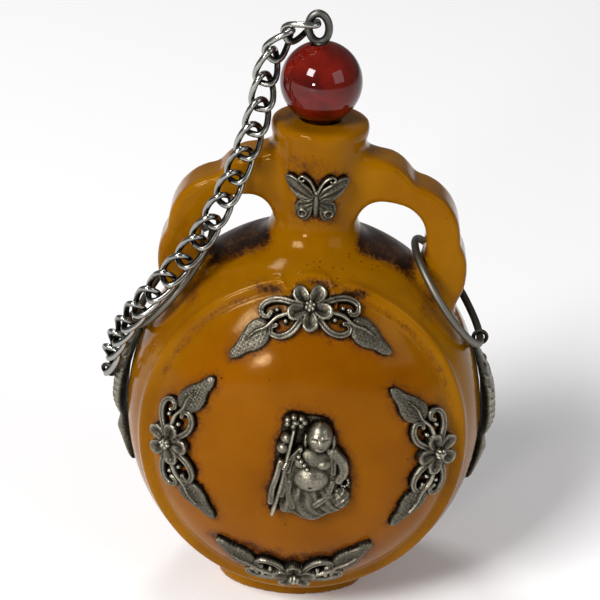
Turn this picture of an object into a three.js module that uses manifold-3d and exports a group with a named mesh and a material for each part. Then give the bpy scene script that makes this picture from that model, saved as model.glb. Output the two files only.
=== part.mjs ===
// A honey-amber resin snuff bottle of moon-flask form with two lobed loop handles.
// It carries cast white-metal appliques, a bead stopper on a curb chain, and a carp
// pendant on a wire ring through each handle.
// Millimetres, +Z up. The origin is the middle of the foot's underside, the front faces -Y.

import * as THREE from 'three';
import { mergeVertices } from 'three/addons/utils/BufferGeometryUtils.js';
import Module from 'manifold-3d';

const wasm = await Module();
wasm.setup();

// Body: a plump lens, elliptical from the front, a squarer ellipse in depth
const bodyHalfWidth = 28;
const bodyHalfHeight = 30.5;
const bodyHalfDepth = 21.4;
const bodyPower = 2.45;
const bodyCentreZ = 32;
const wallThickness = 3.4;

// Sunk panel on the front and the back, with a three-lobed head
const panelHalfWidth = 24.1;
const panelHalfHeight = 26.6;
const panelSink = 0.9;
const panelCuspX = 4.3;
const panelCuspDrop = 1.0;
const panelCuspSpread = 0.8;
const panelCrownRise = 1.5;
const panelCrownSpread = 2.8;

// Foot
const footHalfWidth = 11.7;
const footHalfDepth = 7.7;
const footHeight = 4.2;
const footTaper = 0.97;

// Neck and lip
const rimZ = 80.5;
const boreRadius = 3.0;
const boreBottomZ = 56;
const lipRadius = 7.45;
const lipHeight = 2.2;
const waistRadius = 6.35;
const waistZ = 66;
const flareRadius = 9.2;
const flareZ = 60.5;
const flareSunk = 4;
const neckCurve = [[7.4, 62.4], [6.6, 64]];
const lipStep = 0.25;
const lipRound = 0.35;

// Handles, in the middle plane
const handleThickness = 7.6;
const handleEdge = 1.3;
const handleInset = 1.17;

// Stopper
const beadRadius = 6;
const beadRise = 5.7;
const beadLean = THREE.MathUtils.degToRad(-7.5);
const socketRadius = 1.15;
const socketDepth = 2.8;
const eyeRadius = 1.65;
const eyeWireRadius = 0.6;
const eyeCentreAboveBead = 9.0;
const stemRadius = 0.8;

// Curb chain
const linkLength = 6.2;
const linkWidth = 4.2;
const linkWire = 1.05;
const linkCount = 18;
const linkTwist = Math.PI / 4;
const linkRoundness = 0.62;
const linkGap = 0.3;
const rollPerLink = THREE.MathUtils.degToRad(8);
const linksToUnroll = 6;
const linksInFront = 9;

// Wire rings and the carp that hang on them
const ringWireRadius = 0.6;
const ringHalfWidth = 9;
const ringInnerEnd = new THREE.Vector3(15.6, 0, 60.6);
const ringOuterEnd = new THREE.Vector3(27.0, 0, 45.3);
const carpLength = 24;
const carpHalfBreadth = 4.4;
const carpThickness = 1.7;
const carpBow = 0.7;
const carpGap = 0.6;
const eyeletRadius = 1.15;
const eyeletWireRadius = 0.28;

// Cast appliques
const seatGap = 0.4;
const padEdge = 0.35;
const sprayPlaces = [
  { place: 'top', distance: 25.4, turn: 0 },
  { place: 'left', distance: 21.8, turn: 1.51 },
  { place: 'bottom', distance: 22.8, turn: Math.PI },
  { place: 'right', distance: 21.8, turn: -1.53 },
];
const flowerRadius = 3.6;
const petalCount = 5;
const petalNotch = 0.42;
const scrollWidth = 0.95;
const scrollHeight = 1.0;
const butterflyZ = 70.4;
const monkCentre = [1.3, 0.1];
const monkLift = 0.1;

const amberResin = new THREE.MeshStandardMaterial({ color: 0xa86f10, roughness: 0.2, metalness: 0 });
const redStone = new THREE.MeshStandardMaterial({ color: 0x6a1208, roughness: 0.08, metalness: 0 });
const agedSilver = new THREE.MeshStandardMaterial({ color: 0x8a8578, roughness: 0.45, metalness: 1 });
const brightSteel = new THREE.MeshStandardMaterial({ color: 0xb4b4b0, roughness: 0.22, metalness: 1 });
const dullWire = new THREE.MeshStandardMaterial({ color: 0x6a675c, roughness: 0.5, metalness: 1 });

const outFront = new THREE.Vector3(0, -1, 0);
const upright = Math.PI / 2;

// Closed geometry with only positions, shared corners merged and its faces pointing out
function weld(geometry) {
  const bare = geometry.clone();
  bare.deleteAttribute('normal');
  bare.deleteAttribute('uv');
  const merged = mergeVertices(bare, 1e-4);
  const position = merged.attributes.position;
  const kept = [];
  let volume = 0;
  const a = new THREE.Vector3();
  const b = new THREE.Vector3();
  const c = new THREE.Vector3();
  for (let i = 0; i < merged.index.count; i += 3) {
    const [p, q, r] = [0, 1, 2].map((k) => merged.index.getX(i + k));
    if (p === q || q === r || r === p) continue;
    kept.push(p, q, r);
    a.fromBufferAttribute(position, p);
    b.fromBufferAttribute(position, q);
    c.fromBufferAttribute(position, r);
    volume += a.dot(b.cross(c));
  }
  if (volume < 0) kept.reverse();
  merged.setIndex(kept);
  return merged;
}

function solid(geometry) {
  const welded = weld(geometry);
  return new wasm.Manifold(new wasm.Mesh({
    numProp: 3,
    vertProperties: new Float32Array(welded.attributes.position.array),
    triVerts: new Uint32Array(welded.index.array),
  }));
}

function joined(geometries) {
  return geometries.map(solid).reduce((whole, piece) => whole.add(piece));
}

function geometryOf(manifold) {
  const mesh = manifold.getMesh();
  const geometry = new THREE.BufferGeometry();
  geometry.setAttribute('position', new THREE.BufferAttribute(new Float32Array(mesh.vertProperties), 3));
  geometry.setIndex(Array.from(mesh.triVerts));
  return geometry;
}

function part(name, geometry, material) {
  const finished = geometry.clone();
  finished.computeVertexNormals();
  const mesh = new THREE.Mesh(finished, material);
  mesh.name = name;
  return mesh;
}

// Moves every corner of a geometry to where place(corner) puts it
function reshape(geometry, place) {
  const position = geometry.attributes.position;
  const corner = new THREE.Vector3();
  for (let i = 0; i < position.count; i += 1) {
    corner.fromBufferAttribute(position, i);
    const moved = place(corner);
    position.setXYZ(i, moved.x, moved.y, moved.z);
  }
  return geometry;
}

// Body lens, drawn in by the given amounts at its edge and on its faces
function lens(edgeInset, faceInset, around, along) {
  const power = 2 / bodyPower;
  return reshape(new THREE.SphereGeometry(1, around, along), ({ x, y, z }) => {
    const swing = Math.hypot(x, z);
    const reach = swing > 1e-9 ? swing ** power / swing : 0;
    return new THREE.Vector3(
      (bodyHalfWidth - edgeInset) * reach * x,
      (bodyHalfDepth - faceInset) * Math.sign(y) * Math.abs(y) ** power,
      bodyCentreZ + (bodyHalfHeight - edgeInset) * reach * z,
    );
  });
}

// Outline of the sunk panel: an ellipse with two cusps and a crown at its head
function panelShape() {
  const points = [];
  const push = (angle) => {
    const x = panelHalfWidth * Math.sin(angle);
    const z = panelHalfHeight * Math.cos(angle);
    const cusp = -panelCuspDrop * Math.exp(-(((Math.abs(x) - panelCuspX) / panelCuspSpread) ** 2));
    const crown = panelCrownRise * Math.exp(-((x / panelCrownSpread) ** 2));
    points.push(new THREE.Vector2(x, bodyCentreZ + z + (z > 0 ? cusp + crown : 0)));
  };
  const headAngle = 0.28;
  const headSteps = 10;
  const restSteps = 18;
  for (let i = 0; i < headSteps; i += 1) push(-headAngle + (2 * headAngle * i) / headSteps);
  for (let i = 0; i < restSteps; i += 1) push(headAngle + ((2 * Math.PI - 2 * headAngle) * i) / restSteps);
  return new THREE.Shape(points);
}

// Flat outline in the X-Z plane, given thickness along Y, from nearY to farY
function slabXZ(shape, nearY, farY, extras = {}) {
  const geometry = new THREE.ExtrudeGeometry(shape, {
    depth: farY - nearY,
    bevelEnabled: false,
    curveSegments: 4,
    ...extras,
  });
  geometry.rotateX(Math.PI / 2);
  geometry.translate(0, farY, 0);
  return geometry;
}

function neckRadius(z) {
  const below = THREE.MathUtils.clamp((z - waistZ) / (rimZ - lipHeight - waistZ), 0, 1);
  return THREE.MathUtils.lerp(waistRadius, lipRadius - lipStep, below ** 1.3);
}

function neckGeometry() {
  const lipZ = rimZ - lipHeight;
  const rootZ = flareZ - flareSunk;
  const profile = [[0, rootZ], [flareRadius, rootZ], [flareRadius, flareZ], ...neckCurve];
  for (const z of [waistZ, 70, 74, lipZ - lipStep]) profile.push([neckRadius(z), z]);
  profile.push([lipRadius, lipZ + lipStep], [lipRadius, rimZ - lipRound]);
  profile.push([lipRadius - lipRound, rimZ], [0, rimZ]);
  const lathe = new THREE.LatheGeometry(profile.map(([r, z]) => new THREE.Vector2(r, z)), 20);
  return lathe.rotateX(Math.PI / 2);
}

// Lobed loop: three cloud lobes outside, a smooth arch inside; its root is sunk in the body
function handleGeometry(side) {
  const shape = new THREE.Shape();
  shape.moveTo(2.8, 75.8);
  shape.lineTo(7.6, 76.0);
  shape.bezierCurveTo(9.2, 74.9, 12.6, 75.8, 14.9, 71.5);
  shape.bezierCurveTo(18.6, 71.2, 22.7, 67.4, 22.3, 62.0);
  shape.bezierCurveTo(24.4, 59.7, 24.0, 55.4, 22.8, 52.4);
  shape.lineTo(21.0, 48.6);
  shape.lineTo(15.4, 52.0);
  shape.lineTo(16.3, 57.0);
  shape.bezierCurveTo(17.6, 60.4, 18.6, 68.6, 10.6, 68.6);
  shape.bezierCurveTo(8.2, 68.6, 6.9, 67.6, 6.2, 64.8);
  shape.lineTo(2.8, 64.8);
  const half = handleThickness / 2 - handleEdge;
  const loop = slabXZ(shape, -half, half, {
    bevelEnabled: true,
    bevelThickness: handleEdge,
    bevelSize: handleInset,
    bevelOffset: -handleInset,
    bevelSegments: 1,
  });
  return side > 0 ? loop : loop.scale(-1, 1, 1);
}

function footGeometry() {
  const foot = new THREE.CylinderGeometry(footTaper, 1, footHeight, 28);
  foot.rotateX(Math.PI / 2);
  foot.scale(footHalfWidth, footHalfDepth, 1);
  return foot.translate(0, 0, footHeight / 2);
}

function bottleGeometry() {
  const panel = panelShape();
  const far = bodyHalfDepth + 1;
  const shell = solid(lens(0, 0, 32, 12))
    .subtract(solid(slabXZ(panel, -far, 0)))
    .subtract(solid(slabXZ(panel, 0, far)))
    .add(solid(lens(panelSink, panelSink, 32, 12)))
    .add(solid(neckGeometry()))
    .add(solid(footGeometry()))
    .add(solid(handleGeometry(1)))
    .add(solid(handleGeometry(-1)));
  const bore = new THREE.CylinderGeometry(boreRadius, boreRadius, rimZ + 1 - boreBottomZ, 20);
  bore.rotateX(Math.PI / 2);
  bore.translate(0, 0, (rimZ + 1 + boreBottomZ) / 2);
  const hollow = solid(lens(wallThickness, wallThickness + panelSink, 16, 8)).add(solid(bore));
  return geometryOf(shell.subtract(hollow));
}

// Point of the sunk panel's face: u to the right and v up from its middle, measured along
// the surface, and h proud of it
function onPanel(u, v, h) {
  const [a, c, t] = [bodyHalfWidth, bodyHalfHeight, bodyHalfDepth].map((half) => half - panelSink);
  const goal = Math.hypot(u, v);
  const [dx, dz] = goal > 1e-9 ? [u / goal, v / goal] : [0, 1];
  const reach = 1 / Math.hypot(dx / a, dz / c);
  const step = 0.002;
  const depthAt = (rho) => t * (1 - rho ** bodyPower) ** (1 / bodyPower);
  let rho = 0;
  let walked = 0;
  while (walked < goal && rho < 0.97) {
    walked += Math.hypot(step * reach, depthAt(rho + step) - depthAt(rho));
    rho += step;
  }
  const x = rho * reach * dx;
  const z = rho * reach * dz;
  const y = -depthAt(rho);
  const slope = rho > 0 ? rho ** (bodyPower - 2) : 0;
  const toFront = (-y / t) ** (bodyPower - 1) / t;
  const normal = new THREE.Vector3((slope * x) / a ** 2, -toFront, (slope * z) / c ** 2);
  return normal.normalize().multiplyScalar(h).add(new THREE.Vector3(x, y, bodyCentreZ + z));
}

// Point on the front of the neck: u around it, v up from the butterfly's middle, h proud
function onNeck(u, v, h) {
  const z = butterflyZ + v;
  const radius = neckRadius(z) + h;
  const angle = u / neckRadius(z);
  return new THREE.Vector3(radius * Math.sin(angle), -radius * Math.cos(angle), z);
}

// Low cast pad with an oval outline: [length, breadth] halves, turned, its far end narrowed
// by taper, its edge cut into lobes, domed to height above an edge of the given thickness
function pad({ at, half, height, turn = 0, taper = 0, lobes = 0, notch = 0, sides = 6, rings = 2 }) {
  const edge = padEdge;
  const ringReach = rings === 3 ? Math.sin(Math.PI / 3) : 1;
  return reshape(new THREE.SphereGeometry(1, sides, rings), ({ x, y, z }) => {
    const cut = 1 - notch * (0.5 - 0.5 * Math.cos(lobes * Math.atan2(z, x)));
    const long = (cut * x) / ringReach;
    const wide = ((cut * z) / ringReach) * (1 - taper * long);
    const along = half[0] * long;
    const across = half[1] * wide;
    const h = y < 0 ? edge * (1 + y) : edge + (height - edge) * y;
    return new THREE.Vector3(
      at[0] + along * Math.cos(turn) - across * Math.sin(turn),
      at[1] + along * Math.sin(turn) + across * Math.cos(turn),
      h,
    );
  });
}

// Flat strip of cast wire that follows the given points on the casting's base
function strip(points, width, height, steps) {
  const path = new THREE.CatmullRomCurve3(points.map(([u, v]) => new THREE.Vector3(u, v, height * 0.35)));
  const section = new THREE.Shape([
    new THREE.Vector2(-0.35 * height, -width / 2),
    new THREE.Vector2(-0.35 * height, width / 2),
    new THREE.Vector2(0.65 * height, 0),
  ]);
  return new THREE.ExtrudeGeometry(section, { steps, extrudePath: path, bevelEnabled: false });
}

function seated(geometries, onSurface, move = ([u, v]) => [u, v], lift = 0) {
  return joined(geometries.map((geometry) => reshape(geometry, ({ x, y, z }) => {
    const [u, v] = move([x, y]);
    return onSurface(u, v, seatGap + lift + z);
  })));
}

// Flower with scrolls and a pointed leaf on each hand, drawn flat with the flower at zero
function sprayPieces() {
  const pieces = [pad({
    at: [0, 0],
    half: [flowerRadius, flowerRadius],
    turn: -upright,
    height: 2.2,
    lobes: petalCount,
    notch: petalNotch,
    sides: 3 * petalCount,
    rings: 3,
  })];
  for (const hand of [-1, 1]) {
    const leafTurn = hand > 0 ? -0.72 : Math.PI + 0.72;
    pieces.push(pad({
      at: [hand * 8.9, -4.7],
      half: [4.1, 1.9],
      turn: leafTurn,
      height: 1.4,
      taper: 0.55,
      rings: 3,
    }));
    const upper = [[2.4, 0.3], [4.6, 1.0], [6.8, 0.5], [7.5, -0.9], [6.4, -1.8]];
    const lower = [[1.2, -1.7], [3.0, -3.6], [5.0, -4.3], [6.4, -4.0]];
    for (const route of [upper, lower]) {
      const points = route.map(([u, v]) => [hand * u, v]);
      pieces.push(strip(points, scrollWidth, scrollHeight, route.length - 1));
    }
  }
  return pieces;
}

// A spray stands on the panel at a distance from its middle, its flower outwards
function sprayGeometry(distance, turn) {
  const move = ([u, v]) => {
    const out = distance + v;
    return [u * Math.cos(turn) - out * Math.sin(turn), u * Math.sin(turn) + out * Math.cos(turn)];
  };
  return geometryOf(seated(sprayPieces(), onPanel, move));
}

function butterflyGeometry() {
  const pieces = [pad({ at: [0, -0.7], half: [2.6, 0.55], turn: upright, height: 1.1 })];
  for (const hand of [-1, 1]) {
    const mirror = (turn) => (hand > 0 ? turn : Math.PI - turn);
    pieces.push(pad({
      at: [hand * 2.35, 0.9],
      half: [2.6, 1.45],
      turn: mirror(0.55),
      height: 0.8,
      taper: -0.35,
      sides: 7,
    }));
    pieces.push(pad({
      at: [hand * 1.55, -2.1],
      half: [1.9, 1.2],
      turn: mirror(-0.95),
      height: 0.75,
      taper: -0.2,
    }));
    const feeler = [[0.2, 1.2], [0.9, 2.9], [1.9, 3.6], [2.5, 3.1]].map(([u, v]) => [hand * u, v]);
    pieces.push(strip(feeler, 0.5, 0.6, 4));
  }
  return geometryOf(seated(pieces, onNeck));
}

// Pot-bellied monk in low relief, standing with a staff, drawn flat about the middle of the figure
function monkPieces() {
  const staff = [[-5.0, -8.6], [-4.3, -3.0], [-3.3, 3.0], [-2.5, 7.6]];
  const pieces = [
    pad({ at: [0.2, -3.2], half: [6.0, 5.3], turn: upright, height: 2.2, taper: 0.22, sides: 9, rings: 3 }),
    pad({ at: [-0.5, 0.4], half: [3.0, 3.1], height: 3.4, sides: 9, rings: 3 }),
    pad({ at: [0.5, 3.3], half: [4.6, 1.9], height: 2.4, sides: 8, rings: 3 }),
    pad({ at: [1.0, 5.9], half: [2.5, 2.1], turn: 1.45, height: 3.3, sides: 8, rings: 3 }),
    pad({ at: [-3.0, 8.0], half: [1.8, 1.2], turn: 0.3, height: 1.7, sides: 7 }),
    pad({ at: [-4.2, 4.2], half: [1.7, 1.2], turn: 1.1, height: 2.0 }),
    pad({ at: [4.6, 0.6], half: [2.6, 1.3], turn: -1.25, height: 2.4, sides: 7 }),
    pad({ at: [4.7, -3.6], half: [1.9, 2.3], height: 2.3, sides: 7 }),
    strip(staff, 0.9, 1.6, 4),
  ];
  for (const fold of [-2.4, 1.2]) {
    const turn = upright + fold * 0.06;
    pieces.push(pad({ at: [fold * 0.9, -6.6], half: [2.3, 0.7], turn, height: 2.3 }));
  }
  return pieces;
}

function monkGeometry() {
  const move = ([u, v]) => [u + monkCentre[0], v + monkCentre[1]];
  return geometryOf(seated(monkPieces(), onPanel, move, monkLift));
}

// Round wire closed on itself: it follows route(turn) and is drawn outwards from the route's middle
function wireLoop(route, wireRadius, sides, steps) {
  const bend = 10;
  const torus = new THREE.TorusGeometry(bend, wireRadius, sides, steps);
  const small = 1e-3;
  const middle = route(0).add(route(Math.PI)).multiplyScalar(0.5);
  return reshape(torus, ({ x, y, z }) => {
    const turn = Math.atan2(y, x);
    const point = route(turn);
    const along = route(turn + small).sub(route(turn - small)).normalize();
    const out = point.clone().sub(middle);
    out.addScaledVector(along, -out.dot(along)).normalize();
    const side = new THREE.Vector3().crossVectors(out, along);
    return point.addScaledVector(out, Math.hypot(x, y) - bend).addScaledVector(side, z);
  });
}

function ringGeometry() {
  const middle = ringInnerEnd.clone().add(ringOuterEnd).multiplyScalar(0.5);
  const half = ringOuterEnd.clone().sub(ringInnerEnd).multiplyScalar(0.5);
  const route = (turn) => {
    const point = middle.clone().addScaledVector(half, Math.cos(turn));
    point.y = ringHalfWidth * Math.sin(turn);
    return point;
  };
  return weld(wireLoop(route, ringWireRadius, 5, 16));
}

// Carp that hangs head up along the bottle's side, bowed like the side, held by an eyelet at its mouth
function carpPieces() {
  const headZ = ringOuterEnd.z - eyeletRadius;
  const sideX = (z) => bodyHalfWidth * Math.sqrt(1 - ((z - bodyCentreZ) / bodyHalfHeight) ** 2);
  const place = (fall, y, h) => {
    const z = headZ - fall * carpLength;
    const bow = carpGap + carpBow * Math.sin(Math.PI * fall);
    return new THREE.Vector3(sideX(z) + bow + h, y, z);
  };
  const body = reshape(new THREE.SphereGeometry(1, 8, 7), ({ x, y, z }) => {
    const fall = 0.5 - 0.5 * y;
    const girth = Math.sqrt(x * x + z * z);
    const slim = girth * (1 - 0.62 * fall ** 2.2) * (fall > 0.8 ? 1.25 : 1);
    const scale = girth > 1e-9 ? slim / girth : 0;
    return place(0.84 * fall, carpHalfBreadth * z * scale, (carpThickness * (1 + x * scale)) / 2);
  });
  const pieces = [body];
  for (const hand of [-1, 1]) {
    pieces.push(reshape(new THREE.SphereGeometry(1, 6, 3), ({ x, y, z }) => {
      const fall = 0.88 - 0.12 * y;
      return place(fall, hand * (1.7 - 1.4 * y) + 1.35 * z, 0.75 + 0.55 * x);
    }));
  }
  const eyelet = new THREE.TorusGeometry(eyeletRadius, eyeletWireRadius, 4, 8);
  eyelet.rotateX(Math.PI / 2);
  eyelet.translate(ringOuterEnd.x, 0, ringOuterEnd.z);
  pieces.push(eyelet);
  return pieces;
}

// Chain route from the stopper's eye, over the left handle, to the lug on the left carp
function chainRoute() {
  const start = new THREE.Vector3(Math.sin(beadLean), 0, Math.cos(beadLean));
  start.multiplyScalar(eyeCentreAboveBead);
  start.z += rimZ + beadRise;
  return new THREE.CatmullRomCurve3([
    start,
    new THREE.Vector3(-4.6, -0.2, 94.0),
    new THREE.Vector3(-8.0, -1.6, 90.0),
    new THREE.Vector3(-9.0, -4.0, 82.8),
    new THREE.Vector3(-11.3, -6.8, 75.6),
    new THREE.Vector3(-14.0, -7.9, 69.0),
    new THREE.Vector3(-17.2, -8.8, 62.9),
    new THREE.Vector3(-21.4, -9.3, 57.3),
    new THREE.Vector3(-26.3, -8.2, 50.7),
    new THREE.Vector3(-30.0, -4.8, 42.8),
    new THREE.Vector3(-31.15, -2.0, 36.0),
  ]);
}

// Crossing points of neighbouring links, one pitch apart along the route
function chainCrossings(route, pitch, lead) {
  const fine = route.getSpacedPoints(2000);
  const crossings = [];
  let last = fine[0];
  let goal = lead;
  for (const point of fine) {
    if (point.distanceTo(last) < goal) continue;
    crossings.push(point);
    last = point;
    goal = pitch;
    if (crossings.length > linkCount) break;
  }
  return crossings;
}

// Curb link: an oval wire, its long axis along X, twisted from end to end
function linkGeometry() {
  const halfLength = (linkLength - linkWire) / 2;
  const halfWidth = (linkWidth - linkWire) / 2;
  const route = (turn) => {
    const long = Math.sign(Math.cos(turn)) * Math.abs(Math.cos(turn)) ** linkRoundness;
    const wide = halfWidth * Math.sign(Math.sin(turn)) * Math.abs(Math.sin(turn)) ** linkRoundness;
    const twist = linkTwist * long;
    return new THREE.Vector3(halfLength * long, wide * Math.cos(twist), wide * Math.sin(twist));
  };
  return weld(wireLoop(route, linkWire / 2, 5, 10));
}

function chainMeshes() {
  const pitch = linkLength - 2 * linkWire - linkGap;
  const lead = (linkWire + linkGap) / 2;
  const crossings = chainCrossings(chainRoute(), pitch, lead);
  const geometry = linkGeometry();
  return crossings.slice(0, -1).map((from, i) => {
    const to = crossings[i + 1];
    const along = to.clone().sub(from).normalize();
    const fromEye = Math.max(0, 1 - i / linksToUnroll) * linkTwist;
    const rolled = fromEye - Math.max(0, i - linksInFront) * rollPerLink;
    const across = new THREE.Vector3().crossVectors(outFront, along);
    const face = outFront.clone().multiplyScalar(Math.cos(rolled));
    face.addScaledVector(across, Math.sin(rolled));
    face.addScaledVector(along, -face.dot(along)).normalize();
    const wide = new THREE.Vector3().crossVectors(face, along);
    const link = part(`chain_link_${String(i + 1).padStart(2, '0')}`, geometry, brightSteel);
    link.position.copy(from).add(to).multiplyScalar(0.5);
    link.setRotationFromMatrix(new THREE.Matrix4().makeBasis(along, wide, face));
    return link;
  });
}

// Lug on the left carp: a small wire ring around the end of the last link
function lugGeometry(lastLink) {
  const end = new THREE.Vector3((linkLength - linkWire) / 2, 0, 0).applyQuaternion(lastLink.quaternion);
  end.add(lastLink.position);
  const wire = new THREE.Vector3(0, Math.cos(linkTwist), Math.sin(linkTwist));
  wire.applyQuaternion(lastLink.quaternion);
  const lug = new THREE.TorusGeometry(eyeletRadius, eyeletWireRadius, 4, 8);
  lug.applyQuaternion(new THREE.Quaternion().setFromUnitVectors(new THREE.Vector3(0, 0, 1), wire));
  return lug.translate(end.x, end.y, end.z);
}

function stopper() {
  const group = new THREE.Group();
  group.position.set(0, 0, rimZ + beadRise);
  group.rotation.y = beadLean;
  const socketTop = Math.sqrt(beadRadius ** 2 - socketRadius ** 2);
  const profile = [[0, socketTop - socketDepth], [socketRadius, socketTop - socketDepth]];
  const first = Math.asin(socketRadius / beadRadius);
  const rows = 7;
  for (let i = 0; i < rows; i += 1) {
    const angle = first + ((Math.PI - first) * i) / rows;
    profile.push([beadRadius * Math.sin(angle), beadRadius * Math.cos(angle)]);
  }
  profile.push([0, -beadRadius]);
  const bead = new THREE.LatheGeometry(profile.map(([r, z]) => new THREE.Vector2(r, z)), 18);
  group.add(part('stopper_bead', weld(bead.rotateX(Math.PI / 2)), redStone));

  const loop = new THREE.TorusGeometry(eyeRadius, eyeWireRadius, 6, 10).rotateX(Math.PI / 2);
  loop.translate(0, 0, eyeCentreAboveBead);
  const stemTop = eyeCentreAboveBead - eyeRadius;
  const stemBottom = socketTop - socketDepth + seatGap;
  const stem = new THREE.CylinderGeometry(stemRadius, stemRadius, stemTop - stemBottom, 8);
  stem.rotateX(Math.PI / 2);
  stem.translate(0, 0, (stemTop + stemBottom) / 2);
  group.add(part('stopper_eye', geometryOf(joined([loop, stem])), dullWire));
  return group;
}

// The right-hand ring and carp, or the same turned half round for the left hand
function pendant(side, extraPieces = []) {
  const group = new THREE.Group();
  const hand = side > 0 ? 'right' : 'left';
  group.rotation.z = side > 0 ? 0 : Math.PI;
  group.add(part(`handle_ring_${hand}`, ringGeometry(), dullWire));
  const turnBack = group.rotation.z === 0 ? 1 : -1;
  const extras = extraPieces.map((geometry) => geometry.clone().scale(turnBack, turnBack, 1));
  group.add(part(`carp_${hand}`, geometryOf(joined([...carpPieces(), ...extras])), agedSilver));
  return group;
}

// Four sprays on one face
function sprays(face) {
  const group = new THREE.Group();
  group.rotation.z = face === 'back' ? Math.PI : 0;
  for (const { place, distance, turn } of sprayPlaces) {
    group.add(part(`spray_${face}_${place}`, sprayGeometry(distance, turn), agedSilver));
  }
  return group;
}

const links = chainMeshes();
const snuffBottle = new THREE.Group();
snuffBottle.add(part('bottle', bottleGeometry(), amberResin));
snuffBottle.add(stopper());
snuffBottle.add(...links);
snuffBottle.add(pendant(1));
snuffBottle.add(pendant(-1, [lugGeometry(links.at(-1))]));
snuffBottle.add(sprays('front'));
snuffBottle.add(sprays('back'));
snuffBottle.add(part('butterfly', butterflyGeometry(), agedSilver));
snuffBottle.add(part('monk_figure', monkGeometry(), agedSilver));

export default snuffBottle;
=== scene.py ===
import math
import bpy
import numpy as np
from mathutils import Matrix, Vector, kdtree


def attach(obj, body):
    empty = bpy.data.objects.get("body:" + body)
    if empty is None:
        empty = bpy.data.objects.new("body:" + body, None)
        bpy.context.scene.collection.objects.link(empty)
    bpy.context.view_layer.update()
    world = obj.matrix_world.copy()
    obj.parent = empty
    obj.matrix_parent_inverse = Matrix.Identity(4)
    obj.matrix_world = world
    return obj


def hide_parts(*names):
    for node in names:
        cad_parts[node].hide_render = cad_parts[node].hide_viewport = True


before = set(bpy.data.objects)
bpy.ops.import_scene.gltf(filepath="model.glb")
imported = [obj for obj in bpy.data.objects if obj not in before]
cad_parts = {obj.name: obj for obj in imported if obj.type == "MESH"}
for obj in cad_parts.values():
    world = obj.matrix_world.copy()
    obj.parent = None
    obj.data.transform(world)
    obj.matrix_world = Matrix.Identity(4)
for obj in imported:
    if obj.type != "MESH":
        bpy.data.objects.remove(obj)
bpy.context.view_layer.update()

mm = 0.001  # pieces are shaped in millimetres, then scaled once
tiny = 1e-9  # keeps divisions away from zero
mergeDistance = 0.0005  # points closer than this, in mm, become one


# helpers for meshes

def deselectAll():
    bpy.ops.object.select_all(action="DESELECT")


def makeActive(obj):
    deselectAll()
    obj.select_set(True)
    bpy.context.view_layer.objects.active = obj


def editAll(obj):  # edit mode with everything selected
    makeActive(obj)
    bpy.ops.object.mode_set(mode="EDIT")
    bpy.ops.mesh.select_all(action="SELECT")


def getPoints(obj):
    co = np.zeros(len(obj.data.vertices) * 3)
    obj.data.vertices.foreach_get("co", co)
    return co.reshape(-1, 3)


def setPoints(obj, co):
    obj.data.vertices.foreach_set("co", np.asarray(co, dtype=np.float32).ravel())
    obj.data.update()


def setAttribute(obj, name, values):
    layer = obj.data.attributes.new(name, "FLOAT", "POINT")
    layer.data.foreach_set("value", np.asarray(values, dtype=np.float32))


def applyModifier(obj, kind, **settings):
    makeActive(obj)
    modifier = obj.modifiers.new(kind, kind)
    for key, value in settings.items():
        setattr(modifier, key, value)
    bpy.ops.object.modifier_apply(modifier=modifier.name)


def turnOutwards(obj, merge=True):
    editAll(obj)
    if merge:
        bpy.ops.mesh.remove_doubles(threshold=mergeDistance)
    bpy.ops.mesh.normals_make_consistent(inside=False)
    bpy.ops.object.mode_set(mode="OBJECT")


def newObject(mesh):
    obj = bpy.data.objects.new(mesh.name, mesh)
    bpy.context.collection.objects.link(obj)
    return obj


def spinProfile(profile, steps, start=0.0):  # radius and height pairs, turned round Z
    mesh = bpy.data.meshes.new("profile")
    points = [(r * math.cos(start), r * math.sin(start), z) for r, z in profile]
    mesh.from_pydata(points, [(i, i + 1) for i in range(len(profile) - 1)], [])
    obj = newObject(mesh)
    editAll(obj)
    bpy.ops.mesh.spin(steps=steps, angle=2 * math.pi, center=(0, 0, 0), axis=(0, 0, 1))
    bpy.ops.object.mode_set(mode="OBJECT")
    turnOutwards(obj)
    return obj


def joinPieces(pieces):
    makeActive(pieces[0])
    for piece in pieces[1:]:
        piece.select_set(True)
    bpy.ops.object.join()
    return pieces[0]


def meshEdges(obj):
    edges = np.zeros(len(obj.data.edges) * 2, dtype=np.int64)
    obj.data.edges.foreach_get("vertices", edges)
    return edges.reshape(-1, 2)


def neighbourMean(values, edges, count):  # mean of each vertex's neighbours
    a, b = edges.T
    degree = np.maximum(np.bincount(a, minlength=count) + np.bincount(b, minlength=count), 1)
    columns = values.reshape(count, -1).T
    total = [np.bincount(a, c[b], count) + np.bincount(b, c[a], count) for c in columns]
    return (np.array(total) / degree).T.reshape(values.shape)


def unit(rows):
    return rows / np.linalg.norm(rows, axis=1, keepdims=True)


def step(value, low, high):  # smooth 0 to 1
    t = np.clip((value - low) / (high - low), 0, 1)
    return t * t * (3 - 2 * t)


def hill(distance, spread):  # 1 at zero, soft fall on both sides
    return np.exp(-((distance / spread) ** 2))


def finishPiece(obj, name, nodes, material, angle):  # angle up to which edges look smooth
    obj.name = name
    obj.data.name = name
    obj.data.transform(Matrix.Scale(mm, 4))
    obj.data.materials.clear()
    obj.data.materials.append(material)
    makeActive(obj)
    bpy.ops.object.shade_smooth_by_angle(angle=math.radians(angle))
    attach(obj, "root")
    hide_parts(*nodes)


# helpers for materials

def hexColour(text):  # sRGB hex to linear
    parts = [int(text[i:i + 2], 16) / 255 for i in (1, 3, 5)]
    return tuple(c / 12.92 if c <= 0.04045 else ((c + 0.055) / 1.055) ** 2.4 for c in parts) + (1,)


def setInputs(tree, node, inputs):  # plain values, or links from other nodes
    for key, value in inputs.items():
        if isinstance(value, bpy.types.NodeSocket):
            tree.links.new(value, node.inputs[key])
        else:
            node.inputs[key].default_value = value


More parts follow.
